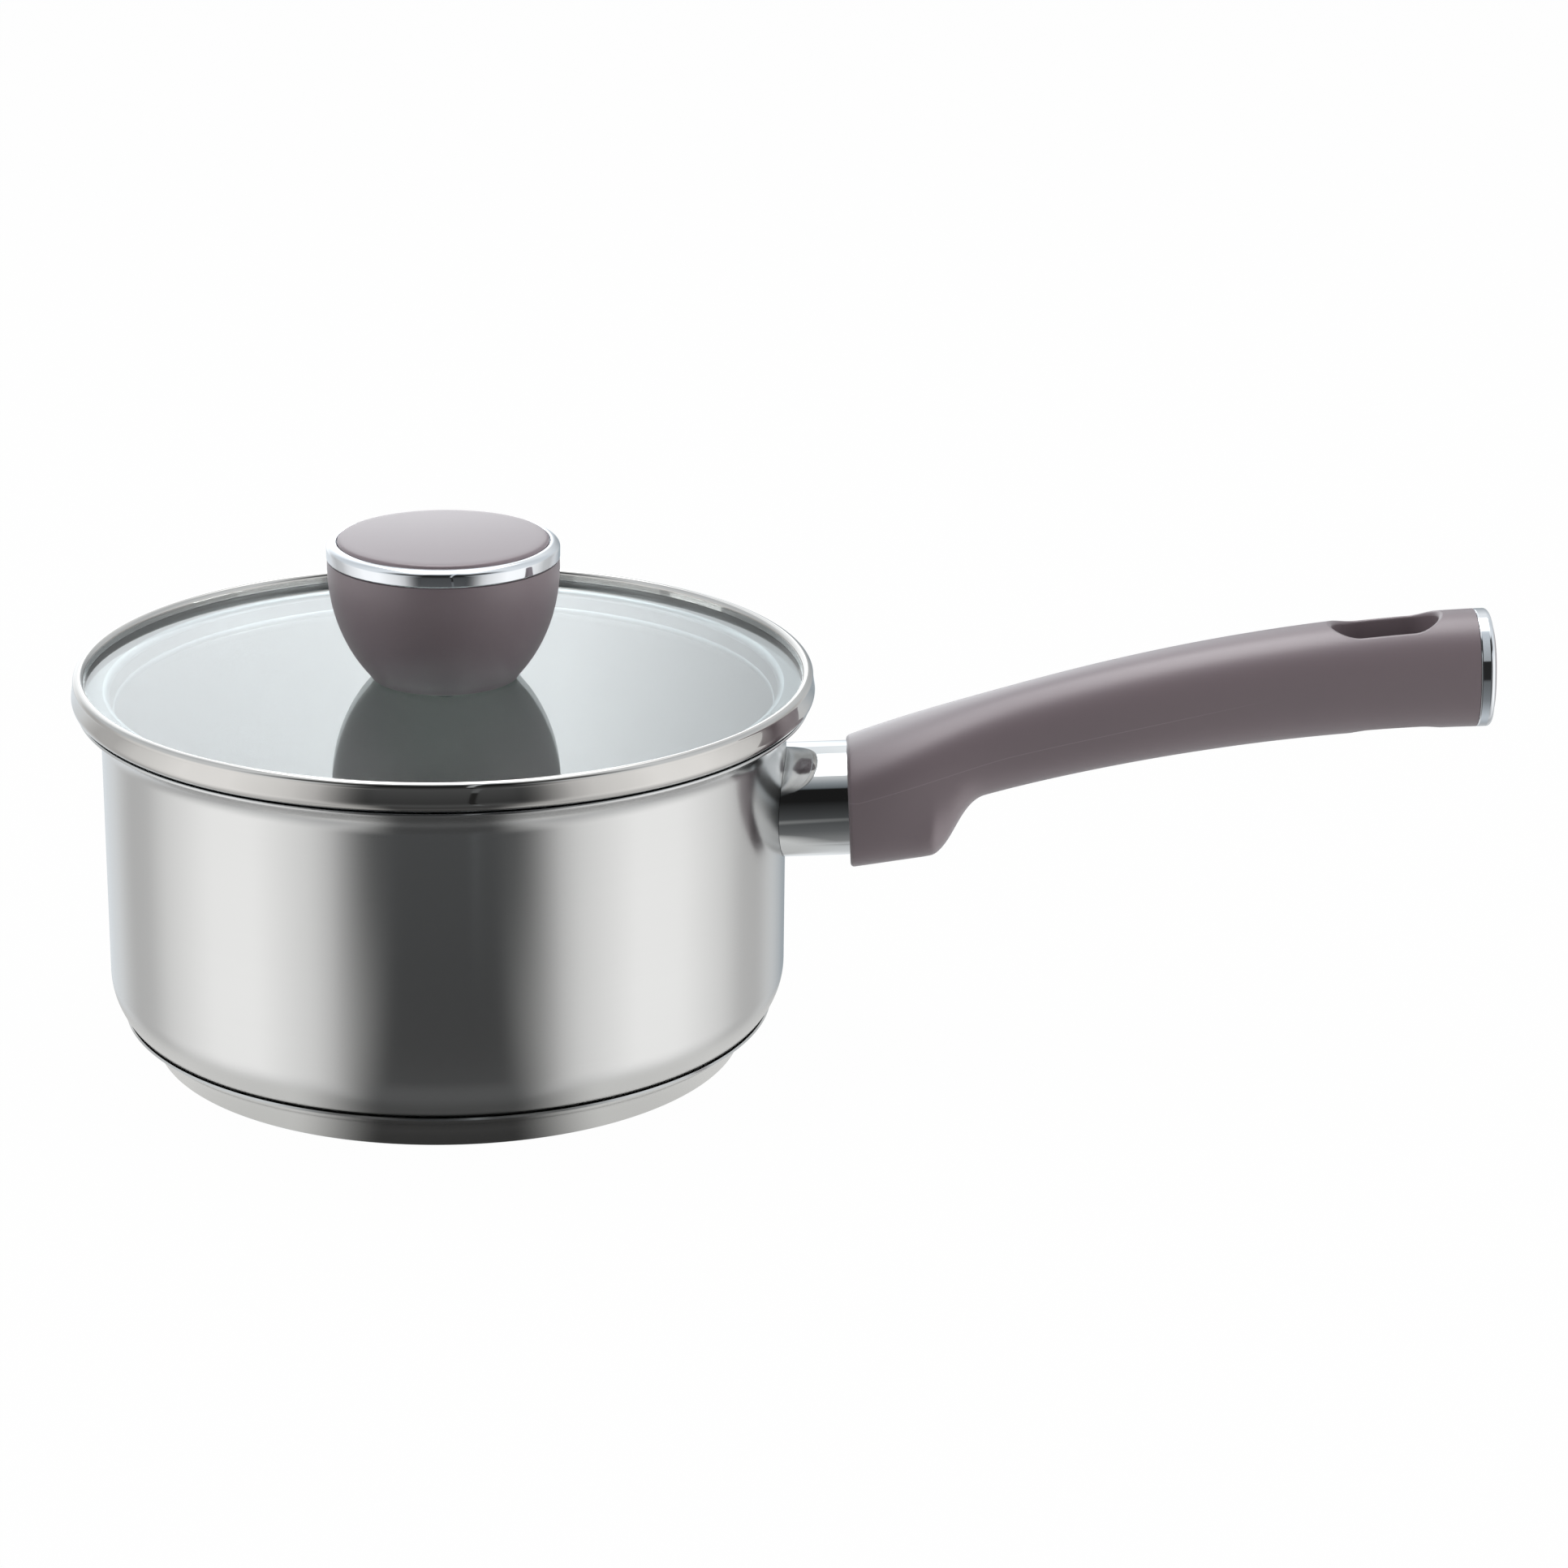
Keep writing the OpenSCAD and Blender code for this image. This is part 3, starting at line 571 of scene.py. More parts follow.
def slotRing(grow, side, under=None):
    # follows the grip's surface at a depth, so that the rim can be rounded all the way round
    u = grip["length"] - slotCut["inset"]
    sine, cosine = sinDeg(slotCut["tilt"]), cosDeg(slotCut["tilt"])
    ring = []
    for i in range(slotCut["around"]):
        a, b = slotPoint(i, grow)
        h = side * (riseUp(u) if under is not None else slotCut["reach"])
        for _ in range(6 if under is not None else 0):
            z = gripSurfaceZ(grip["x"] + u + a * cosine - h * sine, b, side) - side * under
            h = (z - midZ(u) - a * sine) / cosine
        ring.append(Vector((grip["x"] + u + a * cosine - h * sine, b, midZ(u) + a * sine + h * cosine)))
    return ring


def makeSlotCutter():
    rings = []
    r = slotCut["roundBelow"]
    rings += [slotRing(r * 1.2, -1), slotRing(r * 1.2, -1, -r * 0.5)]
    for a in (78, 65, 50, 35, 18, 0):
        rings.append(slotRing(r * (1 - cosDeg(a)), -1, r * (1 - sinDeg(a))))
    r = slotCut["round"]
    for a in (0, 12, 24, 36, 48, 60, 70, 78):
        rings.append(slotRing(r * (1 - cosDeg(a)), 1, r * (1 - sinDeg(a))))
    rings += [slotRing(r * 1.15, 1, -r * 0.45), slotRing(r * 1.15, 1)]
    return loft("slotCutter", rings)


def boxCutter(x0, x1, y, z):
    corners = ((-y, -z), (y, -z), (y, z), (-y, z))
    return loft("boxCutter", [[onCollar(x, cornerY, cornerZ) for cornerY, cornerZ in corners] for x in (x0, x1)])


def boreCutter(x, r, z0, z1, steps=64):
    turns = [360 * i / steps for i in range(steps)]
    return loft("boreCutter", [[onCollar(x + r * cosDeg(a), r * sinDeg(a), z) for a in turns] for z in (z0, z1)])


endCap = {
    "ringWidth": 2, "ringLength": 3.5, "round": 1.2, "lip": 0.3, "seam": 0.15, "seamDepth": 0.35,
    "floor": 1.2, "peg": 8, "pegLength": 7, "pegPlay": 0.05, "crown": 1.1, "around": 200,
}


def onEnd(x, y, z):
    s, c = sinDeg(grip["endTilt"]), cosDeg(grip["endTilt"])
    return Vector((grip["x"] + grip["length"] + x * c - z * s, y, midZ(grip["length"]) + x * s + z * c))


endTurns = [360 * (i + 0.5) / endCap["around"] for i in range(endCap["around"])]


def endRing(x, inset):
    # the grip's own section at its end, shrunk by the inset
    ring = []
    wide = halfWidth(grip["length"]) - inset
    for a in endTurns:
        s, c = sinDeg(a), cosDeg(a)
        tall = (riseUp(grip["length"]) if s >= 0 else dropDown(grip["length"])) - inset
        ring.append(onEnd(x, wide * squared(c, grip["squareness"]), tall * squared(s, grip["squareness"])))
    return ring


def endCircle(x, r):
    return [onEnd(x, r * cosDeg(a), r * sinDeg(a)) for a in endTurns]


# the steel tongue and its screw, which the grip is hollowed for
tongue = {"width": 16, "thick": 5, "length": 38, "play": 0.1, "screwInset": 10.5, "screw": 5, "seat": 5.5}


def makeGrip():
    edge = grip["mouthRound"]
    rings = [gripRing(edge * (1 - cosDeg(a)), edge * (1 - sinDeg(a))) for a in (0, 12, 24, 36, 48, 60, 72, 81)]
    u = edge
    while u < grip["length"] - 0.6:
        rings.append(gripRing(u))
        u += 0.55 if u < 40 else 0.9    # closer rings over the heel
    rings.append(gripRing(grip["length"]))
    body = loft("handleGrip", rings)
    screwX = tongue["length"] - tongue["screwInset"]
    seatZ = -tongue["thick"] / 2 - tongue["seat"]
    play = tongue["play"]
    headHole = 0.9 * tongue["screw"] + 0.7
    pegHole = endCap["peg"] / 2 + endCap["pegPlay"]
    cutAway(body, [
        makeSlotCutter(),
        loft("pocketCutter", [collarRing(x, -0.05, 160) for x in (collar["show"] - 3, collarEnd + 0.1)]),
        boxCutter(0, tongue["length"] + play, tongue["width"] / 2 + play, tongue["thick"] / 2 + play),
        boreCutter(screwX, tongue["screw"] / 2 + play, seatZ - 1, seatZ + tongue["seat"] + 1.5),
        boreCutter(screwX, headHole, seatZ - collar["height"], seatZ),
        loft("pegCutter", [endCircle(-endCap["pegLength"] - 1, pegHole), endCircle(1, pegHole)])])
    return body


place(makeGrip(), mauveHandle, "pan", "handle_grip", "soft_touch_mauve")
print("grip lofted and cut")


def makeEndRing():
    length, width, edge, lip = endCap["ringLength"], endCap["ringWidth"], endCap["round"], endCap["lip"]
    pegHole = endCap["peg"] / 2 + endCap["pegPlay"]
    rings = [endRing(0, endCap["seamDepth"]), endRing(endCap["seam"], 0.1)]
    rings += [endRing(x, 0) for x in (0.4, 0.5, length - edge - 0.1)]
    turns = (0, 12, 24, 36, 48, 60, 72, 84, 90)
    rings += [endRing(length - edge * (1 - sinDeg(a)), edge * (1 - cosDeg(a))) for a in turns]
    rings += [endRing(length - lip * (1 - cosDeg(a)), width - lip * (1 - sinDeg(a))) for a in (0, 30, 60, 90)]
    rings += [endRing(endCap["floor"], width), endCircle(endCap["floor"], pegHole), endCircle(0, pegHole)]
    return loft("gripEndRing", rings, loop=True)


def makeEndDisc():
    edge = endCap["ringWidth"] + endCap["seam"]
    room = halfWidth(grip["length"]) - endCap["ringWidth"] - 1
    rings = [endCircle(-endCap["pegLength"], endCap["peg"] / 2), endCircle(endCap["floor"], endCap["peg"] / 2),
             endRing(endCap["floor"], edge), endRing(endCap["ringLength"], edge)]
    for i in range(1, 20):
        t = (i / 19) ** 2 * 0.95    # crowds the rings where the crown starts
        rings.append(endRing(endCap["ringLength"] + endCap["crown"] * math.sqrt(1 - (1 - t) ** 2), edge + t * room))
    return loft("gripEndDisc", rings)


place(makeEndRing(), chromePlate, "pan", "grip_end_ring", "bright_chrome")
place(makeEndDisc(), mauvePlastic, "pan", "grip_end_disc", "soft_touch_mauve")
print("handle end trimmed")

lid = {
    "glass": 3.6, "glassOver": 0.1, "glassEdge": 0.4, "hole": 4.5,
    "airUnder": 0.03,    # so that glass and steel don't share a face
    "gap": 0.3, "bandWall": 0.6, "bandOver": 0.9, "beadRadius": 1.3, "beadHeight": 2.6, "bend": 0.5, "turnUp": 2.2,
    "skirtPlay": 0.8, "skirtHeight": 5.4, "hem": 0.9, "shoulder": 1.5,
    "highlightWidth": 1.2,    # how far in from the flange's outer edge the painted highlight reaches
}
lid["bandZ"] = pan["height"] + lid["gap"]
lid["glassZ"] = lid["bandZ"] + lid["bandWall"]
lid["glassTop"] = lid["glassZ"] + lid["glass"]
lid["glassRadius"] = pan["lip"] + lid["glassOver"]
lid["skirtRadius"] = pan["radius"] - pan["wall"] - lid["skirtPlay"]


def makeGlass():
    r, t, edge, under = lid["glassRadius"], lid["glass"], lid["glassEdge"], lid["airUnder"]
    outline = [(lid["hole"], under), (40, under), (r - edge, under), (r, edge)]
    outline += [(r, t - edge), (r - edge, t), (40, t), (lid["hole"], t)]
    return lathe("lidGlass", outline, lift=lid["glassZ"])


def makeBand():
    # from the hem up the skirt, out under the rim, over the bead and back in under the glass
    inner, z, glassRadius = lid["skirtRadius"] - lid["bandWall"], lid["bandZ"], lid["glassRadius"]
    hem, shoulder, bend, turnUp = lid["hem"], lid["shoulder"], lid["bend"], lid["turnUp"]
    bandRadius = glassRadius + lid["bandOver"]
    beadX = bandRadius - lid["beadRadius"] + 0.05
    beadZ = lid["glassTop"] + lid["beadHeight"] - lid["beadRadius"]
    line = arc(inner + lid["bandWall"] - hem, z - lid["skirtHeight"] + hem, hem, 120, 360, 20)
    line += arc(lid["skirtRadius"] + bend, z - bend, bend, 180, 90, 6)
    line += arc(glassRadius - lid["bandWall"], z + bend, bend, -90, -40, 6)
    line += arc(bandRadius - turnUp, z + 2, turnUp, -30, 12, 10)
    line += arc(beadX - bend, beadZ, lid["beadRadius"], -15, 180, 28)
    line += [(glassRadius - turnUp, lid["glassTop"] + 0.05), (glassRadius + 0.1, lid["glassTop"] + 0.05)]
    line += [(glassRadius + 0.1, lid["glassZ"])]
    line += arc(inner + shoulder, lid["glassZ"] - shoulder, shoulder, 90, 180, 10)
    return lathe("lidBand", line, steps=320)


place(makeGlass(), clearGlass, "lid", "lid_glass", "lid_glass")
band = place(makeBand(), bandSteel, "lid", "lid_band", "band_steel")
band.data.materials.append(flangeSteelPaintedShade)
band.data.materials.append(edgeSteelPaintedHighlight)
for face in band.data.polygons:
    # the flange under the glass and the skirt below it keep the dull skin of the press, in a colour darker than the
    # band's, a painted shade; their rolled and rounded edges and the flange's outer edge get a lighter steel, a painted
    # highlight
    reach, rise = face.center.xy.length / mm, face.center.z / mm
    if reach < lid["glassRadius"] + 0.05 and rise < lid["glassZ"] + 0.01:
        rolled = rise < lid["bandZ"] - lid["skirtHeight"] + 2 * lid["hem"]
        shoulderEnd = lid["skirtRadius"] - lid["bandWall"] + lid["shoulder"]
        rounded = rise > lid["glassZ"] - lid["shoulder"] and reach < shoulderEnd
        face.material_index = 2 if rolled or rounded or reach > lid["glassRadius"] - lid["highlightWidth"] else 1

# heights inside the knob are counted from its foot
knob = {
    "diameter": 54.4, "height": 29, "footDiameter": 33.6, "footRound": 1.2, "wall": 3, "bossHeight": 2,
    "gasketRadius": 10.1, "gasketDepth": 0.8, "insertRadius": 4.5, "insertTop": 13, "tipRadius": 3, "tipTop": 18,
    "pegHole": 4.05, "pegFloor": 24, "pegRadius": 4, "pegLength": 6.9,
    "ringHeight": 3.9, "ringWidth": 2.4, "ringOver": 0.1, "seam": 0.15, "discEdge": 0.8, "crown": 1.5,
}
knob["radius"] = knob["diameter"] / 2
knob["boss"] = knob["radius"] - knob["ringWidth"] - 0.4
knob["footZ"] = lid["glassTop"] + 0.2
knob["mid"] = knob["height"] - 2.2
knob["stretch"] = knob["mid"] / math.sqrt(1 - (knob["footDiameter"] / knob["diameter"]) ** 2)


def bowlRadius(z):
    return knob["radius"] * math.sqrt(1 - ((z - knob["mid"]) / knob["stretch"]) ** 2)


def makeBowl():
    h, wall, boss, top = knob["height"], knob["wall"], knob["boss"], knob["height"] + knob["bossHeight"]
    hub, foot = knob["insertRadius"] + wall, knob["footRound"]
    line = [(knob["gasketRadius"], 0)]
    line += arc(bowlRadius(1) - foot, foot, foot, -90, -22, 8)
    line += [(bowlRadius(z), z) for z in [2 + (h - 0.25 - 2) * i / 40 for i in range(41)]]
    line += [(knob["radius"] - 0.6, h), (boss, h), (boss, top), (boss - wall, top), (boss - wall, h)]
    line += [(bowlRadius(z) - wall, z) for z in [h - wall - (h - 2 * wall - 1) * i / 12 for i in range(13)]]
    # the hub: a hole for the disc's peg above, and the brass insert and the screw's tip below
    line += [(hub, wall + 1), (hub, top), (knob["pegHole"], top), (knob["pegHole"], knob["pegFloor"])]
    line += [(0, knob["pegFloor"]), (0, knob["tipTop"]), (knob["tipRadius"], knob["tipTop"])]
    line += [(knob["tipRadius"], knob["insertTop"])]
    line += [(knob["insertRadius"], knob["insertTop"]), (knob["insertRadius"], knob["gasketDepth"])]
    line += [(knob["gasketRadius"], knob["gasketDepth"])]
    return lathe("knobBowl", line, lift=knob["footZ"])


def makeKnobRing():
    r, w, h = knob["radius"] + knob["ringOver"], knob["ringWidth"], knob["ringHeight"]
    wide, tall = w - 0.2, 1.6
    line = [(knob["boss"] + 0.1, 0), (knob["radius"] - 0.6, 0)]
    line += arc(r - 0.3, 0.3, 0.3, -80, 0, 5)
    line += [(r - wide * (1 - cosDeg(a)), h - tall * (1 - sinDeg(a))) for a in range(0, 91, 6)]
    line += [(r - w, h - 0.3), (r - w, knob["bossHeight"]), (knob["boss"] + 0.1, knob["bossHeight"])]
    return lathe("knobRing", line, lift=knob["footZ"] + knob["height"])


def makeKnobDisc():
    r = knob["radius"] + knob["ringOver"] - knob["ringWidth"] - knob["seam"]
    edge, thick = knob["discEdge"], knob["ringHeight"] - knob["bossHeight"]
    line = [(0, -knob["pegLength"]), (knob["pegRadius"], -knob["pegLength"]), (knob["pegRadius"], 0), (r, 0)]
    line += [(r - edge * (1 - cosDeg(a)), thick - 0.1 + edge * sinDeg(a)) for a in range(0, 85, 9)]
    # the crown, from just inside the edge to the middle
    shares = [0.955 - 0.955 * i / 16 for i in range(17)]
    line += [(r * share, thick + 0.7 + (knob["crown"] - 0.7) * (1 - share ** 2)) for share in shares]
    return lathe("knobTopDisc", line, lift=knob["footZ"] + knob["height"] + knob["bossHeight"])


place(makeBowl(), mauvePlastic, "lid", "knob_body", "soft_touch_mauve")
place(makeKnobRing(), chromePlate, "lid", "knob_ring", "bright_chrome")
place(makeKnobDisc(), mauvePlastic, "lid", "knob_top_disc", "soft_touch_mauve")
print("lid and knob turned")

# small solids that keep their own shape
keptSolids = {
    "base_core": coreAluminium, "handle_bracket": bracketSteel,
    "handle_screw": screwSteel, "handle_lock_washer": screwSteel,
    "knob_insert": insertBrass, "knob_gasket": silicone,
    "lid_gasket": silicone, "lid_washer": screwSteel, "lid_screw": screwSteel,
}
for name, material in keptSolids.items():
    for materialSlot in nodes[name].material_slots:
        materialSlot.material = material
print("small solids dressed")

# the studio: its places and sizes are in metres
studio = {"floorColor": "EDEDEB", "floorWhite": 0.985, "floorReach": 15, "floorDrop": 0.0002, "skyDiffuse": 0.27}


def directLight(tree):
    # 1 for rays that show the background: straight from the camera, off gloss, or through glass
    path = addNode(tree, "ShaderNodeLightPath")
    first = addNode(tree, "ShaderNodeMath", {"operation": "MAXIMUM"}, {
        0: path.outputs["Is Camera Ray"], 1: path.outputs["Is Glossy Ray"]})
    return addNode(tree, "ShaderNodeMath", {"operation": "MAXIMUM"}, {0: first, 1: path.outputs["Is Transmission Ray"]})


def makeFloor():
    r = studio["floorReach"]
    mesh = bpy.data.meshes.new("studioFloor")
    mesh.from_pydata([(-r, -r, 0), (r, -r, 0), (r, r, 0), (-r, r, 0)], [], [(0, 1, 2, 3)])
    floor = addObject("studioFloor", mesh)
    floor.location.z = -studio["floorDrop"]
    material, tree = startTree("paintedFloor")
    paint = addNode(tree, "ShaderNodeBsdfDiffuse", {"Color": hexColor(studio["floorColor"])})
    glow = addNode(tree, "ShaderNodeEmission")
    share = addNode(tree, "ShaderNodeMath", {"operation": "MULTIPLY", 1: studio["floorWhite"]}, {0: directLight(tree)})
    mix = addNode(tree, "ShaderNodeMixShader", links={0: share, 1: paint, 2: glow})
    addNode(tree, "ShaderNodeOutputMaterial", links={"Surface": mix})
    mesh.materials.append(material)
    floor.visible_glossy = False    # the reflecting dome stands in for it


# what the steel mirrors. A light is (angle, level, cold cast), and level 1 is a white card. Angles are counted from the
# front in "sides" and "footShade", and from the horizon elsewhere. An edge is where a light starts and ends to fade, in
# degrees, or in shares of the radius for the places across.
dome = {
    "strength": 5.6, "radius": 4, "frontTurn": 4,
    "sides": [(22, 0.04), (32, 0.5), (45, 0.91), (66, 1.22), (84, 1.2), (106, 0.9), (117, 0.64), (129, 0.59),
              (145, 0.85, 0.03)],
    "coldWall": (0.85, 0.1), "coldEdge": (4, 18), "coldShare": 0.75,
    "footShade": [(50, 0.5, 0.02), (95, 0.7, 0.02), (120, 0.52, 0.02)],    # the table close to the pot is in its shade
    "footEdge": (-62, -26),
    "ceiling": (1.05, 0.04), "ceilingEdge": (54, 70),
    # a black flag round the camera, and a wider grey one that hangs above it
    "front": [(-85, 0.34), (-49, 0.16, 0.04), (-18, 0.095, 0.06), (5, 0.055, 0.05), (17, 0.035, 0.05), (27, 0.015),
              (53, 0.015), (56, 0.2, 0.15), (66, 0.4, 0.12), (82, 0.9, 0.03), (86, 1.05, 0.03)],
    "frontEdge": (20, 38),
    "hanging": (0.1, 0), "hangingSide": (48, 72), "hangingFoot": (20, 28), "hangingTop": (52, 58),
    # a narrow gap between the flags, right of the camera
    "gap": [(-80, 0.7, 0.1), (-40, 0.26, 0.1), (-16, 0.16, 0.08), (-14, 0.024), (10, 0.024), (12, 0.42, 0.08),
            (50, 0.66, 0.1), (70, 0.75, 0.12), (84, 1.05, 0.1)],
    "gapLean": 0.04, "gapLeft": (0.187, 0.193), "gapRight": (0.221, 0.227),
    # behind the pot: the soft box ends a little right of the middle, and a dimmer wall goes on from there
    "rearLeft": [(-60, 0.9, 0.03), (-38, 0.95, 0.04), (-24, 0.75, 0.08), (-15, 0.72, 0.1), (-8, 0.7, 0.08),
                 (-3, 2.3, 0.05), (22, 2.3, 0.05), (27, 0.95, 0.08), (44, 1.0, 0.06), (60, 1.1, 0.05)],
    "rearRight": [(-60, 0.9, 0.03), (-38, 1.0, 0.03), (-22, 0.72, 0.18), (-6, 0.7, 0.18), (10, 0.85, 0.1),
                  (22, 1.25, 0.06), (34, 1.6, 0.03), (50, 1.6, 0.03), (80, 1.2, 0.03)],
    "farLeft": [(-12, 0.88, 0.1), (-3, 1.5, 0.06)],
    "rearEdge": (138, 162), "leftAcross": (-0.193, -0.178), "rightAcross": (-0.045, 0.044),
    "rightFade": (0.045, 0.12), "rightEnd": 0.62,
    # the strongest light, a narrow box that hangs from above the pot to behind it
    "box": (5.5, 0.02), "boxRear": (48, 55), "boxFront": (94, 100),
    # how much of it there is at a place on the way from the left of the dome to its right
    "boxAcross": [(0.32, 0), (0.4, 1), (0.49, 1), (0.54, 0.8), (0.575, 0.35), (0.61, 0.35), (0.68, 0)],
}


def startSky(name):
    # share is the turn away from the front (-Y), 0 to 1 for 0 to 180 degrees on either side
    material, tree = startTree(name)
    split = addNode(tree, "ShaderNodeSeparateXYZ", links={0: addNode(tree, "ShaderNodeTexCoord").outputs["Object"]})
    back = addNode(tree, "ShaderNodeMath", {"operation": "MULTIPLY", 1: -1.0}, {0: split.outputs["Y"]})
    azimuth = addNode(tree, "ShaderNodeMath", {"operation": "ARCTAN2"}, {0: split.outputs["X"], 1: back})
    turned = addNode(tree, "ShaderNodeMath", {"operation": "SUBTRACT", 1: math.radians(dome["frontTurn"])}, {
        0: azimuth})
    turn = addNode(tree, "ShaderNodeMath", {"operation": "ABSOLUTE"}, {0: turned})
    share = addNode(tree, "ShaderNodeMath", {"operation": "DIVIDE", 1: math.pi}, {0: turn})
    return material, tree, split, share


def lightColor(level, cold=0.0):
    level /= dome["strength"]
    return (level * (1 - cold), level * (1 - cold * 0.45), level, 1)


def layered(tree, bottom, layers):
    # each layer, a cover and a color, lies over the ones before it where its cover is 1
    for cover, color in layers:
        settings, links = {"data_type": "RGBA"}, {"Factor": cover, "A": bottom}
        if isinstance(color, tuple):
            settings["B"] = color
        else:
            links["B"] = color
        bottom = addNode(tree, "ShaderNodeMix", settings, links)
    return bottom


def makeDome():
    # soft boxes and grey flags all round, which only the gloss sees
    bm = bmesh.new()
    bmesh.ops.create_icosphere(bm, subdivisions=5, radius=dome["radius"])
    shell = finishMesh("reflectionDome", bm, 180)
    material, tree, split, share = startSky("softBoxesAndFlags")
    across = addNode(tree, "ShaderNodeMath", {"operation": "DIVIDE", 1: dome["radius"]}, {0: split.outputs["X"]})
    upward = addNode(tree, "ShaderNodeMath", {"operation": "DIVIDE", 1: dome["radius"]}, {0: split.outputs["Z"]})
    rise = addNode(tree, "ShaderNodeMath", {"operation": "ARCSINE"}, {0: upward})
    # the height from straight down to straight up, 0 to 1
    height = softCover(tree, rise, rise=(-math.pi / 2, math.pi / 2))

    def shares(edge, start):
        return [(angle - start) / 180 for angle in dome[edge]]

    def lights(key, source, start):
        stops = [((angle - start) / 180, lightColor(*light)) for angle, *light in dome[key]]
        return addNode(tree, "ShaderNodeValToRGB", {"stops": stops}, {"Fac": source})

    cooled = addNode(tree, "ShaderNodeMath", {"operation": "MULTIPLY", 1: dome["coldShare"]}, {
        0: softCover(tree, height, rise=shares("coldEdge", -90))})
    aboveCamera = addNode(tree, "ShaderNodeMath", {"operation": "MULTIPLY"}, {
        0: softCover(tree, share, fall=shares("hangingSide", 0)),
        1: softCover(tree, height, rise=shares("hangingFoot", -90), fall=shares("hangingTop", -90))})
    leaning = addNode(tree, "ShaderNodeMath", {"operation": "MULTIPLY_ADD", 1: dome["gapLean"]}, {0: rise, 2: across})

    fade = addNode(tree, "ShaderNodeMapRange", {
        "From Min": dome["rightFade"][0], "From Max": dome["rightFade"][1], "To Min": 1.0, "To Max": dome["rightEnd"]},
        {"Value": across})
    rearRight = addNode(tree, "ShaderNodeVectorMath", {"operation": "SCALE"}, {
        0: lights("rearRight", height, -90), "Scale": fade})
    rear = layered(tree, lights("farLeft", height, -90), [
        (softCover(tree, across, rise=dome["leftAcross"]), lights("rearLeft", height, -90)),
        (softCover(tree, across, rise=dome["rightAcross"]), rearRight)])

    tipped = addNode(tree, "ShaderNodeMath", {"operation": "ARCTAN2"}, {0: split.outputs["Z"], 1: split.outputs["Y"]})
    lengthwise = softCover(tree, tipped, rise=[math.radians(a) for a in dome["boxRear"]],
                           fall=[math.radians(a) for a in dome["boxFront"]])
    widthwise = addNode(tree, "ShaderNodeValToRGB", {
        "stops": [(position, (level, level, level, 1)) for position, level in dome["boxAcross"]]},
        {"Fac": softCover(tree, across, rise=(-1, 1))})
    hung = addNode(tree, "ShaderNodeMath", {"operation": "MULTIPLY"}, {0: lengthwise, 1: widthwise})

    color = layered(tree, lights("sides", share, 0), [
        (cooled, lightColor(*dome["coldWall"])),
        (softCover(tree, height, fall=shares("footEdge", -90)), lights("footShade", share, 0)),
        (softCover(tree, height, rise=shares("ceilingEdge", -90)), lightColor(*dome["ceiling"])),
        (aboveCamera, lightColor(*dome["hanging"])),
        (softCover(tree, share, fall=shares("frontEdge", 0)), lights("front", height, -90)),
        (softCover(tree, leaning, rise=dome["gapLeft"], fall=dome["gapRight"]), lights("gap", height, -90)),
        (softCover(tree, share, rise=shares("rearEdge", 0)), rear),
        (hung, lightColor(*dome["box"]))])
    glow = addNode(tree, "ShaderNodeEmission", {"Strength": dome["strength"]}, {"Color": color})
    addNode(tree, "ShaderNodeOutputMaterial", links={"Surface": glow})
    showOnlyToGloss(shell, material, True)


# a dark card on the table that only the gloss sees: a painted shade of the table in front of the pot and of the pot's
# own shade
# close round its foot. Its lights are (place, red, green, blue): the place of "front" is the share of the way along,
# that of "shade" the turn in degrees
flag = {
    "radius": 0.3, "lift": 0.0003, "farEdge": (0.17, 0.28), "footEdge": (0.087, 0.098), "sideEdge": (12, 32),
    "along": (0.07, 0.27),
    "front": [(0.015, 0.05, 0.05, 0.05), (0.03, 0.1, 0.1, 0.1), (0.05, 0.085, 0.086, 0.086), (0.1, 0.12, 0.122, 0.124),
              (0.16, 0.12, 0.122, 0.124), (0.3, 0.075, 0.076, 0.077), (0.8, 0.068, 0.07, 0.072)],
    "shade": [(40, 0.78, 0.78, 0.77), (60, 0.82, 0.82, 0.81), (95, 0.66, 0.66, 0.655), (120, 0.48, 0.48, 0.48)],
}


def makeTableShadeFlag():
    bm = bmesh.new()
    bmesh.ops.create_circle(bm, cap_ends=True, segments=96, radius=flag["radius"])
    card = finishMesh("tableShadeFlag", bm, 180)
    card.location.z = flag["lift"]
    material, tree, split, share = startSky("tableShadeCard")
    flat = addNode(tree, "ShaderNodeCombineXYZ", links={"X": split.outputs["X"], "Y": split.outputs["Y"]})
    reach = addNode(tree, "ShaderNodeVectorMath", {"operation": "LENGTH"}, {0: flat})
    far = softCover(tree, reach, fall=flag["farEdge"])
    near = softCover(tree, reach, fall=flag["footEdge"])
    start, end = flag["sideEdge"]
    wide = addNode(tree, "ShaderNodeMapRange", {
        "interpolation_type": "SMOOTHSTEP", "From Min": start / 180, "From Max": end / 180,
        "To Min": 1.0, "To Max": 0.0}, {"Value": share})
    wedge = addNode(tree, "ShaderNodeMath", {"operation": "MULTIPLY"}, {0: far, 1: wide})
    cover = addNode(tree, "ShaderNodeMath", {"operation": "MAXIMUM"}, {0: wedge, 1: near})
    shadeInFront = addNode(tree, "ShaderNodeValToRGB", {
        "stops": [(position, (*color, 1)) for position, *color in flag["front"]]},
        {"Fac": softCover(tree, reach, rise=flag["along"])})
    shade = addNode(tree, "ShaderNodeValToRGB", {
        "stops": [(angle / 180, (*color, 1)) for angle, *color in flag["shade"]]}, {"Fac": share})
    clear = addNode(tree, "ShaderNodeBsdfTransparent")
    glow = addNode(tree, "ShaderNodeEmission", links={"Color": layered(tree, shade, [(wide, shadeInFront)])})
    mix = addNode(tree, "ShaderNodeMixShader", links={0: cover, 1: clear, 2: glow})
    addNode(tree, "ShaderNodeOutputMaterial", links={"Surface": mix})
    showOnlyToGloss(card, material, False)


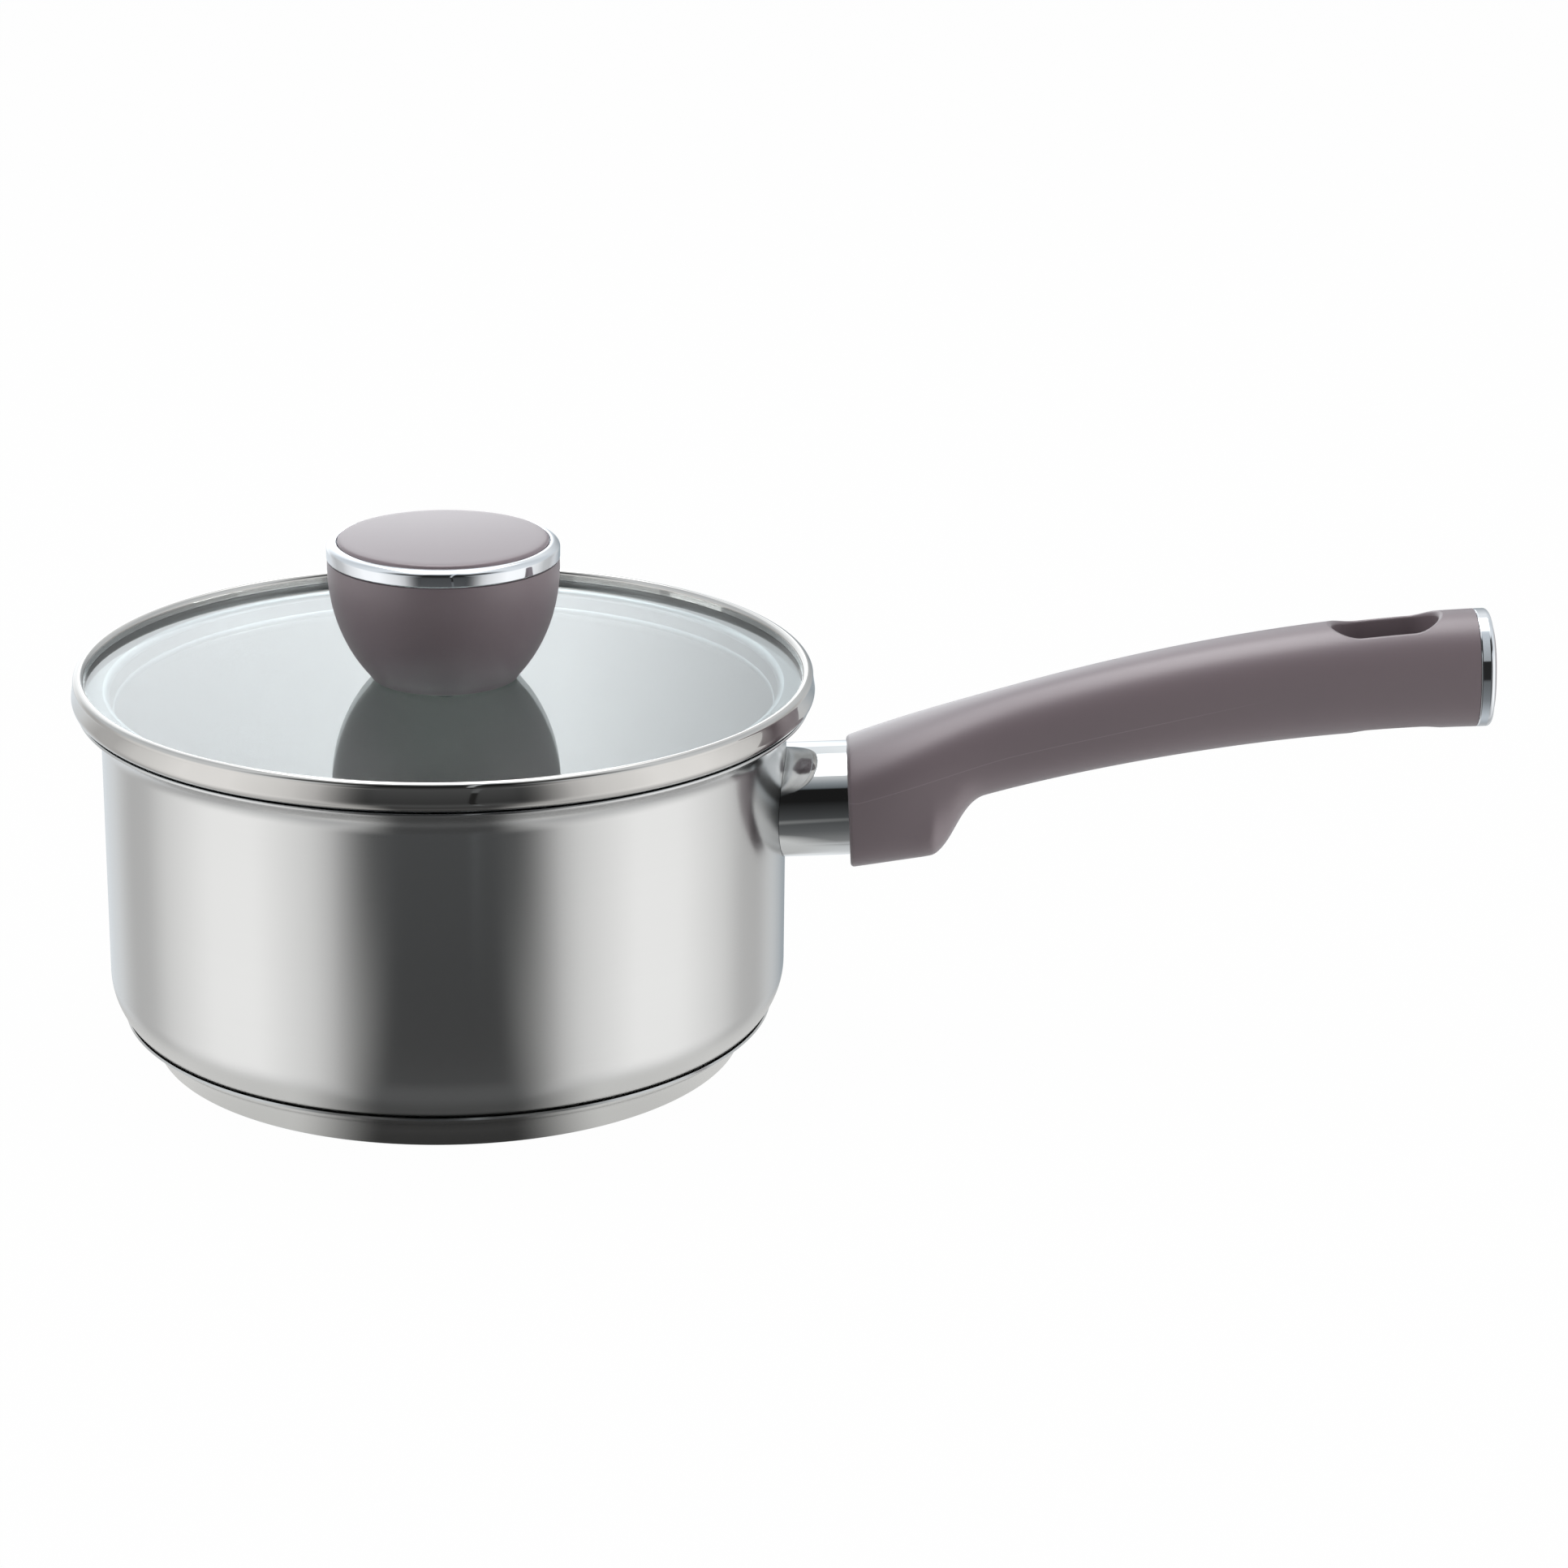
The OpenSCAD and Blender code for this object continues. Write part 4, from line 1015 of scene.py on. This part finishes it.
def showOnlyToGloss(obj, material, throughGlass):
    material.cycles.emission_sampling = "NONE"
    obj.data.materials.append(material)
    for rays in ("camera", "diffuse", "shadow", "volume_scatter"):
        setattr(obj, "visible_" + rays, False)
    obj.visible_transmission = throughGlass


def makeSky():
    world = bpy.data.worlds.new("studioRoom")
    bpy.context.scene.world = world
    world.use_nodes = True
    tree = world.node_tree
    tree.nodes.clear()
    level = addNode(tree, "ShaderNodeMapRange", {"To Min": studio["skyDiffuse"]}, {"Value": directLight(tree)})
    air = addNode(tree, "ShaderNodeBackground", {"Color": (1, 1, 1, 1)}, {"Strength": level})
    addNode(tree, "ShaderNodeOutputWorld", links={"Surface": air})


softBoxes = {
    "topBox": {"spot": (0.05, 0.25, 1.5), "aim": (0.08, 0, 0.05), "size": 1.3, "power": 9.6},
    "leftBox": {"spot": (-1.2, -0.8, 0.6), "aim": (0.05, 0, 0.05), "size": 0.9, "power": 3.8},
    "rightBox": {"spot": (1.35, -0.7, 0.6), "aim": (0.08, 0, 0.05), "size": 0.9, "power": 3.8},
    "leftEdgeBox": {"spot": (-1.2, 0, 0.2), "aim": (0, 0, 0.08), "size": 0.5, "power": 3.5},
    "rightEdgeBox": {"spot": (1.4, -0.1, 0.12), "aim": (0.1, 0, 0.05), "size": 0.5, "power": 7.5},
}


def aimed(spot, aim):
    look = (Vector(aim) - Vector(spot)).to_track_quat("-Z", "Y")
    return Matrix.Translation(Vector(spot)) @ look.to_matrix().to_4x4()


def makeSoftBox(name, spot, aim, size, power):
    light = bpy.data.lights.new(name, "AREA")
    light.shape = "SQUARE"
    light.size = size
    light.energy = power
    obj = addObject(name, light)
    obj.matrix_world = aimed(spot, aim)
    obj.visible_glossy = False    # its gloss comes from the dome
    obj.visible_camera = False


makeFloor()
makeDome()
makeTableShadeFlag()
makeSky()
for name, box in softBoxes.items():
    makeSoftBox(name, **box)
print("studio lit")

shot = {
    "distance": 1.0058, "elevation": 18.96, "across": 0.08036, "height": 0.06402, "roll": 0.73, "lens": 96.9,
    "sensor": 36, "farEnd": 60,
}
camera = bpy.data.cameras.new("shotCamera")
camera.lens = shot["lens"]
camera.sensor_width = shot["sensor"]
camera.clip_end = shot["farEnd"]
cameraObject = addObject("shotCamera", camera)
aim = Vector((shot["across"], 0, shot["height"]))
stand = aim + shot["distance"] * Vector((0, -cosDeg(shot["elevation"]), sinDeg(shot["elevation"])))
cameraObject.matrix_world = aimed(stand, aim) @ Matrix.Rotation(math.radians(shot["roll"]), 4, "Z")
bpy.context.scene.camera = cameraObject
bpy.context.scene.view_settings.view_transform = "Standard"
